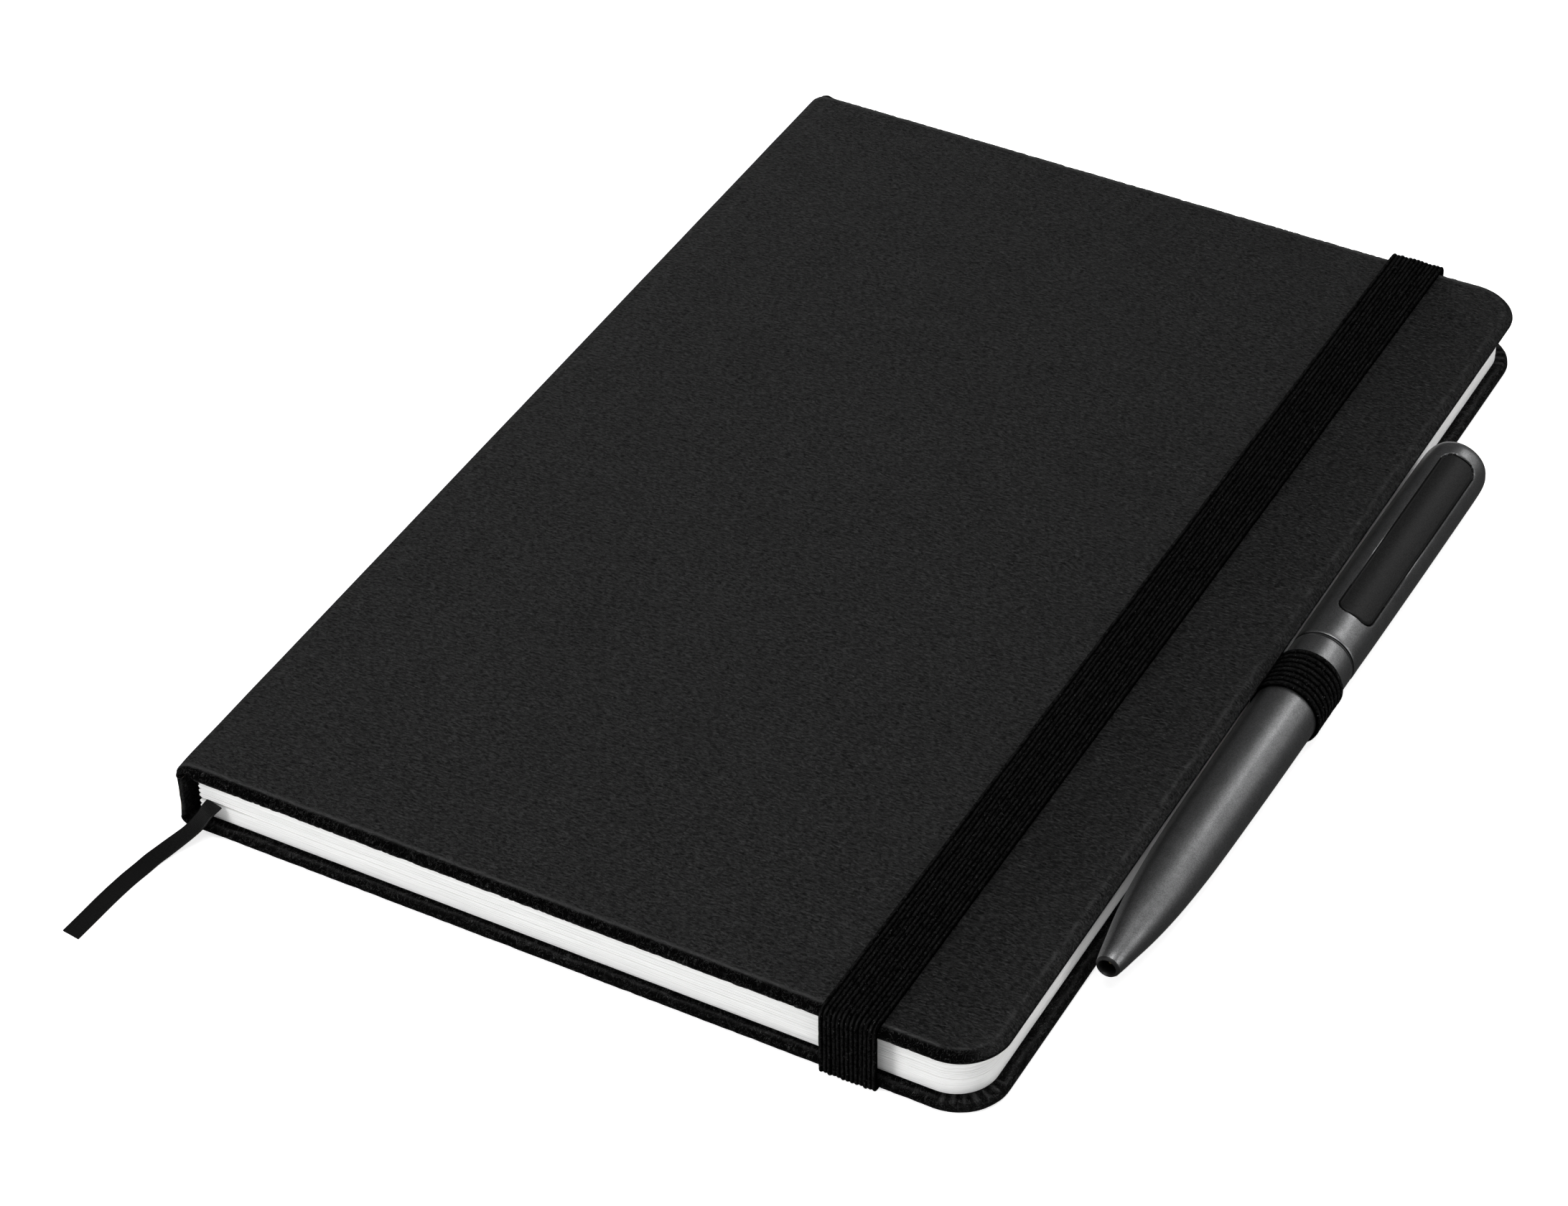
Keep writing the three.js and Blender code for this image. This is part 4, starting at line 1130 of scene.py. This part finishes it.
def turned(name, prof, seg, mat, radius_at=None, smooth_deg=50, facts=None):
    """A turned piece. prof is a list of (r, y); closed on itself, or with both ends on the axis."""
    prof = [tuple(q_) for q_ in prof]
    closed = prof[0] == prof[-1]
    pts = prof[:-1] if closed else prof
    b = Build()
    ang = np.linspace(0, 2 * math.pi, seg, endpoint=False)
    Rr = np.array([q_[0] for q_ in pts])[:, None] * np.ones(seg)[None, :]
    Y = np.array([q_[1] for q_ in pts])[:, None] * np.ones(seg)[None, :]
    A = np.ones(len(pts))[:, None] * ang[None, :]
    if radius_at is not None:
        Rr = radius_at(Rr, A, Y)
    P = pen_points(Rr * np.cos(A), Y, Rr * np.sin(A))
    b.grid(P, close_i=closed, close_j=True)
    p, faces, _ = b.welded(1e-4)
    nrm = vertex_normals(p, faces)
    # outward: the point furthest from the axis faces away from it
    axisx = PEN["x"] - (p[:, 1] - PEN["y"]) * math.tan(PEN["turn"])
    rad = np.stack([p[:, 0] - axisx, p[:, 2] - PEN["z"]], 1)
    k = int(np.argmax(np.hypot(rad[:, 0], rad[:, 1])))
    if nrm[k, 0] * rad[k, 0] + nrm[k, 2] * rad[k, 1] < 0:
        faces = [f[::-1] for f in faces]
    return make(name, p, faces, mat=mat, auto=smooth_deg)


nose = [(1.34, 33.2), (1.36, 32.55), (1.5, 32.32), (1.72, 32.38), (1.95, 32.75), (2.28, 34.5), (2.75, 37.4), (3.3, 40.6), (3.85, 44.6), (4.3, 49.0), (4.62, 53.5), (4.9, 59.0),
        (5.08, 66.0), (5.2, 74.0), (5.3, 82.0), (5.36, 90.0), (5.39, 98.0), (5.4, 105.0), (5.4, 110.45)]
lower_prof = curve_profile(nose, 0.9) + [(5.37, 110.56), (5.3, 110.6), (4.45, 110.6), (4.4, 110.5), (4.4, 60.0), (2.3, 46.0), (2.3, 42.0), (1.34, 41.5), (1.34, 33.2)]
ob = turned("lower_barrel", lower_prof, 96, BARREL)
# the nose's lip and its bore get the near-black finish; inside the bore it is painted shade
ob.data.materials.append(RING_AND_SHADE_M)
for poly in ob.data.polygons:
    y_ = poly.center[1] * 1000 + L / 2
    r_ = math.hypot(poly.center[0] * 1000 + W / 2 - PEN["x"] + (y_ - PEN["y"]) * math.tan(PEN["turn"]), poly.center[2] * 1000 - PEN["z"])
    if y_ < 32.7 or (y_ < 46 and r_ < 1.42):
        poly.material_index = 1
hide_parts("pen_lower_barrel"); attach(ob, "pen_body")
ring_prof = [(4.42, 110.73), (5.22, 110.73), (5.28, 110.78), (5.28, 111.06), (5.22, 111.11), (4.42, 111.11), (4.42, 110.73)]
ob = turned("joint_ring", ring_prof, 96, RING_AND_SHADE_M)
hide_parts("pen_ring"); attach(ob, "pen_body")

CLIP_A = math.radians(66.5)
CLIP_W, CLIP_Y0, CLIP_Y1 = 6.0, 118.0, 163.2


def rr_dist(t, y, hw, y0, y1, r):
    """Signed distance to a rounded rectangle |t| < hw, y0 < y < y1; negative inside."""
    qx = np.abs(t) - (hw - r)
    qy = np.abs(y - (y0 + y1) / 2) - ((y1 - y0) / 2 - r)
    return np.hypot(np.maximum(qx, 0), np.maximum(qy, 0)) + np.minimum(np.maximum(qx, qy), 0) - r


def clip_dist(t, y, grow):
    """Rounded at the free end, with cut corners at the fixed end."""
    a = rr_dist(t, y, CLIP_W / 2 + grow, CLIP_Y0 - grow, CLIP_Y1 + grow, 2.1)
    cut = (np.abs(t) + (y - (CLIP_Y1 + grow))) / math.sqrt(2) - (CLIP_W / 2 + grow - 1.15) / math.sqrt(2)
    return np.maximum(a, np.minimum(cut, 10))


def pocket(Rr, A, Y):
    t = Rr * np.sin(A - CLIP_A)
    facing = np.cos(A - CLIP_A) > 0
    dd = clip_dist(t, Y, 0.26)
    inside = smooth(0.05, -0.09, dd) * facing * (Rr > 5.0)
    edge_soft = bell(dd, 0.10, 0.12) * facing * 0.03 * (Rr > 5.0)
    return Rr - inside * 1.15 - edge_soft


upper_outer = [(5.36, 111.25), (5.42, 111.33), (5.45, 114.0), (5.50, 119.0), (5.56, 131.0), (5.6, 143.0), (5.6, 157.0), (5.59, 162.6), (5.54, 164.9), (5.40, 166.1), (5.08, 167.0), (4.5, 167.6), (3.6, 167.95), (2.2, 168.10), (0.9, 168.14), (0.0, 168.15)]
outer_c = curve_profile(upper_outer, 0.6)
dense = []
for (r_, y_), (r2, y2) in zip(outer_c[:-1], outer_c[1:]):
    near = 116.9 < y_ < 120.0 or 160.6 < y_ < 164.6
    n_ = max(1, int((y2 - y_) / 0.1)) if near else 1
    dense += [(r_ + (r2 - r_) * i / n_, y_ + (y2 - y_) * i / n_) for i in range(n_)]
dense.append(outer_c[-1])
upper_prof = [(0.0, 162.0), (3.2, 162.0), (3.2, 113.3), (4.4, 113.3), (4.4, 111.3), (4.45, 111.25)] + dense
ang_fine = None


def turned_fine(name, prof, mat):
    """Like turned, with more sides where the clip's pocket lies."""
    a_list = []
    a = 0.0
    rel = np.concatenate([np.linspace(-math.pi, -0.75, 34, endpoint=False), np.linspace(-0.75, -0.42, 22, endpoint=False), np.linspace(-0.42, 0.42, 30, endpoint=False),
                          np.linspace(0.42, 0.75, 22, endpoint=False), np.linspace(0.75, math.pi, 34, endpoint=False)])
    ang = CLIP_A + rel
    b = Build()
    pts = prof
    Rr = np.array([q_[0] for q_ in pts])[:, None] * np.ones(len(ang))[None, :]
    Y = np.array([q_[1] for q_ in pts])[:, None] * np.ones(len(ang))[None, :]
    A = np.ones(len(pts))[:, None] * ang[None, :]
    Rr = pocket(Rr, A, Y)
    P = pen_points(Rr * np.cos(A), Y, Rr * np.sin(A))
    b.grid(P, close_j=True)
    p, faces, _ = b.welded(1e-4)
    nrm = vertex_normals(p, faces)
    k = int(np.argmax(p[:, 2]))
    if nrm[k, 2] < 0:
        faces = [f[::-1] for f in faces]
    return make(name, p, faces, mat=mat, auto=50)


ob = turned_fine("upper_barrel", upper_prof, BARREL)
# painted shade: the clip pocket's floor and walls get the near-black finish
ob.data.materials.append(RING_AND_SHADE_M)
for poly in ob.data.polygons:
    y_ = poly.center[1] * 1000 + L / 2
    r_ = math.hypot(poly.center[0] * 1000 + W / 2 - PEN["x"] + (y_ - PEN["y"]) * math.tan(PEN["turn"]), poly.center[2] * 1000 - PEN["z"])
    if 117.0 < y_ < 164.5 and r_ < 5.34:
        poly.material_index = 1
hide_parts("pen_upper_barrel"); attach(ob, "pen_top")


def clip_piece():
    """Sprung plate lying flush in its pocket: gently curved face, rolled edges."""
    b = Build()
    nt, ny_ = 41, 150
    tt = np.linspace(-1, 1, nt)
    tt = np.sign(tt) * (1 - (1 - np.abs(tt)) ** 1.5)
    yy = np.linspace(0, 1, ny_)
    yy = 0.5 - 0.5 * np.sign(0.5 - yy) * (1 - (1 - np.abs(1 - 2 * yy)) ** 1.45)
    Yc = CLIP_Y0 + (CLIP_Y1 - CLIP_Y0) * yy
    hw = CLIP_W / 2
    r_lo = 2.1
    half = np.full(ny_, hw)
    lo = Yc < CLIP_Y0 + r_lo
    half[lo] = hw - r_lo + np.sqrt(np.clip(r_lo ** 2 - (CLIP_Y0 + r_lo - Yc[lo]) ** 2, 0, None))
    top = (hw - 1.15) - (Yc - CLIP_Y1)
    half = np.minimum(half, np.maximum(top, 0.2))
    Tm = half[None, :] * tt[:, None]
    Ym = np.repeat(Yc[None, :], nt, 0)
    dist = -clip_dist(Tm, Ym, 0.0)
    ro = 5.52
    face = np.sqrt(ro ** 2 - Tm ** 2 * 0.92)
    roll = 0.24 * (1 - smooth(0.0, 0.34, dist)) ** 1.6
    outz = face - roll
    outz[:, 0] -= 0.2; outz[:, -1] -= 0.2
    outz[0, :] -= 0.2; outz[-1, :] -= 0.2
    inz = np.full_like(outz, 4.52)
    ca, sa = math.cos(CLIP_A), math.sin(CLIP_A)

    def place(t, y, rad):
        # t across, rad outward
        return pen_points(rad * ca - t * sa, y, rad * sa + t * ca)
    top_ids = b.grid(place(Tm, Ym, outz))
    in_ids = b.grid(place(Tm, Ym, inz), flip=True)
    for i in range(nt - 1):
        b.face([top_ids[i, 0], in_ids[i, 0], in_ids[i + 1, 0], top_ids[i + 1, 0]])
        b.face([top_ids[i, -1], in_ids[i, -1], in_ids[i + 1, -1], top_ids[i + 1, -1]], flip=True)
    for j in range(ny_ - 1):
        b.face([top_ids[0, j], in_ids[0, j], in_ids[0, j + 1], top_ids[0, j + 1]], flip=True)
        b.face([top_ids[-1, j], in_ids[-1, j], in_ids[-1, j + 1], top_ids[-1, j + 1]])
    p, faces, _ = b.welded(1e-4)
    nrm = vertex_normals(p, faces)
    centre = place(np.array(0.0), np.array(140.5), np.array(5.5))
    k = int(np.argmin(np.linalg.norm(p - centre, axis=1)))
    if nrm[k, 0] * ca + nrm[k, 2] * sa < 0:
        faces = [f[::-1] for f in faces]
    return make("clip_plate", p, faces, mat=CLIP_M, auto=45)


ob = clip_piece()
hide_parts("pen_clip"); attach(ob, "pen_clip_body")

insert = [(1.95, 98.0), (2.55, 98.0), (2.9, 98.4), (2.9, 104.0), (2.7, 104.3), (2.7, 112.0), (2.9, 112.3), (2.9, 120.0)]
for i in range(9):
    y_ = 120.0 + i * 2.4
    insert += [(2.9, y_ + 0.1), (2.9, y_ + 0.8), (2.62, y_ + 1.1), (2.62, y_ + 1.9), (2.9, y_ + 2.2)]
insert += [(2.9, 149.6), (2.55, 150.0), (1.95, 150.0), (1.95, 98.0)]
ob = turned("twist_insert", insert, 48, PLASTIC)
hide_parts("pen_twist_insert"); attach(ob, "pen_top")
refill = [(0.0, 48.2), (1.2, 48.2), (1.5, 48.5), (1.55, 49.0), (1.55, 138.5), (1.4, 139.2), (1.2, 140.0), (0.9, 140.0), (0.9, 137.0), (0.0, 136.8)]
ob = turned("refill_tube", refill, 40, PLASTIC)
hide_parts("pen_refill_tube"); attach(ob, "pen_refill")
tip = [(0.0, 33.5), (0.2, 33.53), (0.33, 33.68), (0.36, 33.9), (0.42, 34.6), (0.7, 34.75), (0.8, 35.2), (1.1, 37.2), (1.1, 44.7), (1.2, 44.85), (1.45, 45.0), (1.5, 45.1), (1.5, 47.8), (1.4, 48.0), (0.0, 48.0)]
ob = turned("refill_point", tip, 40, BRASS)
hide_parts("pen_refill_tip"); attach(ob, "pen_refill")

# ---- pen loop -------------------------------------------------------------------------------------------------------
# a ribbed elastic tube round the barrel; its two ends run flat under the endpaper


def pen_loop():
    y0, y1 = 96.2, 105.9
    ribs = 8
    wid = y1 - y0
    sec = []
    crown = []
    per = 10
    for i in range(ribs * per + 1):
        a = wid * i / (ribs * per)
        c = abs(math.sin(math.pi * ribs * a / wid))
        e = min(1.0, min(a, wid - a) / 0.55)
        sec.append((a, 0.50 * ((0.60 + 0.40 * c ** 0.65) * (0.35 + 0.65 * math.sqrt(max(0.0, 1 - (1 - e) ** 2))))))
        crown.append(c)
    for i in range(1, 10):
        sec.append((wid - wid * i / 10, 0.0))
        crown.append(0.2)
    sec = np.array(sec)
    seg = 120
    ang = np.linspace(0, 2 * math.pi, seg, endpoint=False)
    a, h_ = sec[:, 0][None, :], sec[:, 1][None, :]
    rib_i = np.floor(a / (wid / ribs))
    A = ang[:, None]
    cx, sy = np.cos(A), np.sin(A)
    sway = 0.05 * noise(2.4 * cx + 9, 2.4 * sy, rib_i * 0.7, 301) * (h_ > 0)
    lump = 1 + 0.07 * noise(6 * cx, 6 * sy, rib_i * 1.3, 302)
    flare = 0.05 * (np.abs(a - wid / 2) / (wid / 2)) ** 4
    rad = 5.47 + flare + h_ * lump
    P = pen_points(rad * cx, y0 + a + sway, rad * sy)
    b = Build(("cr", "fa", "fb"))
    b.grid(P, close_i=True, close_j=True, cr=np.broadcast_to(np.array(crown)[None, :], rad.shape), fa=np.broadcast_to(a, rad.shape), fb=np.broadcast_to(A * 5.8, rad.shape))
    # flat tail from the underside of the tube towards the spine, two layers thick
    ins = [(-0.0, -5.92), (-2.0, -5.80)]
    xs = spread(131.0, PEN["x"] - 1.6, 0.8)
    prof_t = []
    for x in xs:
        k = float(smooth(138.9, 142.6, x))
        prof_t.append((x, 1.80 * (1 - k) + 0.42 * k, 2.12 * (1 - k) + 1.02 * k, k))
    for top in (0, 1):
        ys_ = y0 + sec[: ribs * per + 1, 0] * 0.985 + 0.1
        G = np.zeros((len(prof_t), len(ys_), 3))
        for i, (x, zb, zt_, k) in enumerate(prof_t):
            c = np.array(crown[: ribs * per + 1])
            z = (zt_ + 0.10 * k * c) if top else (zb - 0.02 * c)
            G[i, :, 0], G[i, :, 1], G[i, :, 2] = x, ys_, z
        b.grid(G, flip=not top, cr=np.broadcast_to(np.array(crown[: ribs * per + 1])[None, :], G.shape[:2]), fa=np.broadcast_to(ys_[None, :], G.shape[:2]), fb=G[..., 0])
    p = np.concatenate(b.p)
    F_ = {k: np.concatenate(v) for k, v in b.facts.items()}
    faces = b.f
    ring_n = seg * len(sec)
    nrm = vertex_normals(p, faces)
    k = int(np.argmax(p[:ring_n, 2]))
    if nrm[k, 2] < 0:
        faces = [f[::-1] if f[0] < ring_n else f for f in faces]
    # the crown share becomes painted light on the crowns and painted shade in the valleys
    return make("loop_elastic", p, faces, flat=np.stack([F_["fa"], F_["fb"], np.full(len(p), 77.0)], 1), facts={"edge": F_["cr"]}, mat=ELASTIC)


ob = pen_loop()
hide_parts("pen_loop"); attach(ob, "book")

# ---- ribbon bookmark ---------------------------------------------------------------------------------------------------
rz = sig_z[3] - RIB_GAP / 2
TAIL = [(6.12, 1.85, rz), (5.95, 1.2, rz - 0.2), (5.65, 0.4, 4.78), (5.17, -0.55, 3.75), (4.6, -1.65, 2.85), (3.9, -2.75, 2.1), (3.15, -3.9, 1.45), (2.4, -5.3, 0.9),
        (1.75, -6.9, 0.5), (1.2, -8.7, 0.28), (0.8, -11.0, 0.14), (0.35, -14.2, 0.13), (0.1, -17.0, 0.13), (-0.08, -20.0, 0.13), (-0.2, -23.5, 0.13), (-0.4, -28.1, 0.13)]
tail_path = np.array(curve_profile(TAIL, 0.35))


def ribbon(name, path, width, thick, seed, cut=0.0, selvedge=True):
    path = np.asarray(path, float)
    tan = np.gradient(path, axis=0)
    tan /= np.linalg.norm(tan, axis=1, keepdims=True)
    side = np.stack([-tan[:, 1], tan[:, 0], 0 * tan[:, 0]], 1)
    side /= np.linalg.norm(side, axis=1, keepdims=True)
    upv = np.cross(side, tan)
    upv *= np.sign(upv[:, 2:3] + 1e-9)
    run = np.concatenate([[0], np.cumsum(np.linalg.norm(np.diff(path, axis=0), axis=1))])
    m = 17
    aa = np.linspace(-width / 2, width / 2, m)
    edge = np.abs(aa) / (width / 2)
    bulge = thick / 2 * (1 - 0.35 * smooth(0.94, 1.0, edge) + 0.35 * bell(edge, 0.9, 0.06))
    cols = np.concatenate([np.stack([aa, bulge], 1), np.stack([aa[::-1], -bulge[::-1]], 1)])
    wob = 0.015 * noise(run[:, None] / 2.5, cols[None, :, 0] / 1.5, 0, seed)
    slide = np.zeros((len(path), len(cols)))
    slide[-1] = cut * cols[:, 0]
    slide[-2] = 0.5 * cut * cols[:, 0]
    P = path[:, None, :] + side[:, None, :] * cols[None, :, 0:1] + upv[:, None, :] * (cols[None, :, 1] + wob)[..., None] + tan[:, None, :] * slide[..., None]
    b = Build()
    ids = b.grid(P, close_j=True)
    b.face(ids[0]); b.face(ids[-1], flip=True)
    p = np.concatenate(b.p)
    faces = b.f
    nrm = vertex_normals(p, faces)
    mid = len(path) // 2 * len(cols) + m // 2
    if nrm[mid] @ upv[len(path) // 2] < 0:
        faces = [f[::-1] for f in faces]
    flat = np.stack([np.broadcast_to(cols[None, :, 0], P.shape[:2]).ravel(), np.broadcast_to(run[:, None], P.shape[:2]).ravel(), np.full(len(p), seed * 1.0)], 1)
    return make(name, p, faces, flat=flat, mat=RIBBON_M, auto=60)


tail_ob = ribbon("bookmark_tail", tail_path, 3.2, 0.22, 401, cut=0.10)
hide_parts("ribbon_tail"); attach(tail_ob, "book")
inner_path = [(6.12 + (y - 2) * 0.004, y, rz + 0.01 * math.sin(y / 5.0)) for y in spread(2.3, 204.0, 1.5)]
ob = ribbon("bookmark_inner", inner_path, 3.2, 0.22, 402)
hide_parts("ribbon_inner"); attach(ob, "book")

# ---- studio --------------------------------------------------------------------------------------------------------------
bpy.ops.mesh.primitive_plane_add(size=8, location=(0, 0, -0.00005))
floor = bpy.context.object
floor.name = "studio_floor"
floor.data.materials.append(floor_material())
floor.visible_glossy = False


def area(name, loc, aim, size, power, spread_=180, size_y=None):
    d_ = bpy.data.lights.new(name, "AREA")
    d_.shape = "RECTANGLE"
    d_.size, d_.size_y = size, size_y or size
    d_.energy = power
    d_.spread = math.radians(spread_)
    o = bpy.data.objects.new(name, d_)
    bpy.context.scene.collection.objects.link(o)
    o.location = loc
    o.rotation_mode = "QUATERNION"
    o.rotation_quaternion = (Vector(aim) - Vector(loc)).to_track_quat("-Z", "Y")
    return o


area("overhead", (0.25, -0.35, 1.5), (0, 0, 0), 1.0, 10.5, size_y=0.8)
area("front_box", (-0.90, -1.40, 0.64), (0, 0, 0), 0.6, 17.0, size_y=0.5)
area("rim_card", (-1.12, 1.05, 0.09), (0, 0.02, 0.0), 1.3, 1.0, size_y=0.13)
area("right_box", (1.5, 0.1, 0.7), (0, 0, 0), 0.9, 5.0, size_y=0.8)
area("back_box", (1.05, 1.4, 0.85), (0.07, 0, 0), 1.2, 3.2, size_y=1.3)
area("far_strip", (0.65, 1.80, 1.40), (0, 0.05, 0), 0.9, 5.2, size_y=0.5)

world = bpy.data.worlds.new("studio")
bpy.context.scene.world = world
world.use_nodes = True
wt = world.node_tree
bg = wt.nodes["Background"]
bg.inputs[0].default_value = (1, 1, 1, 1)
bg.inputs[1].default_value = 0.06
vs = bpy.context.scene.view_settings
vs.view_transform = "Standard"
vs.look = "None"
vs.exposure = 0.0
vs.gamma = 1.0
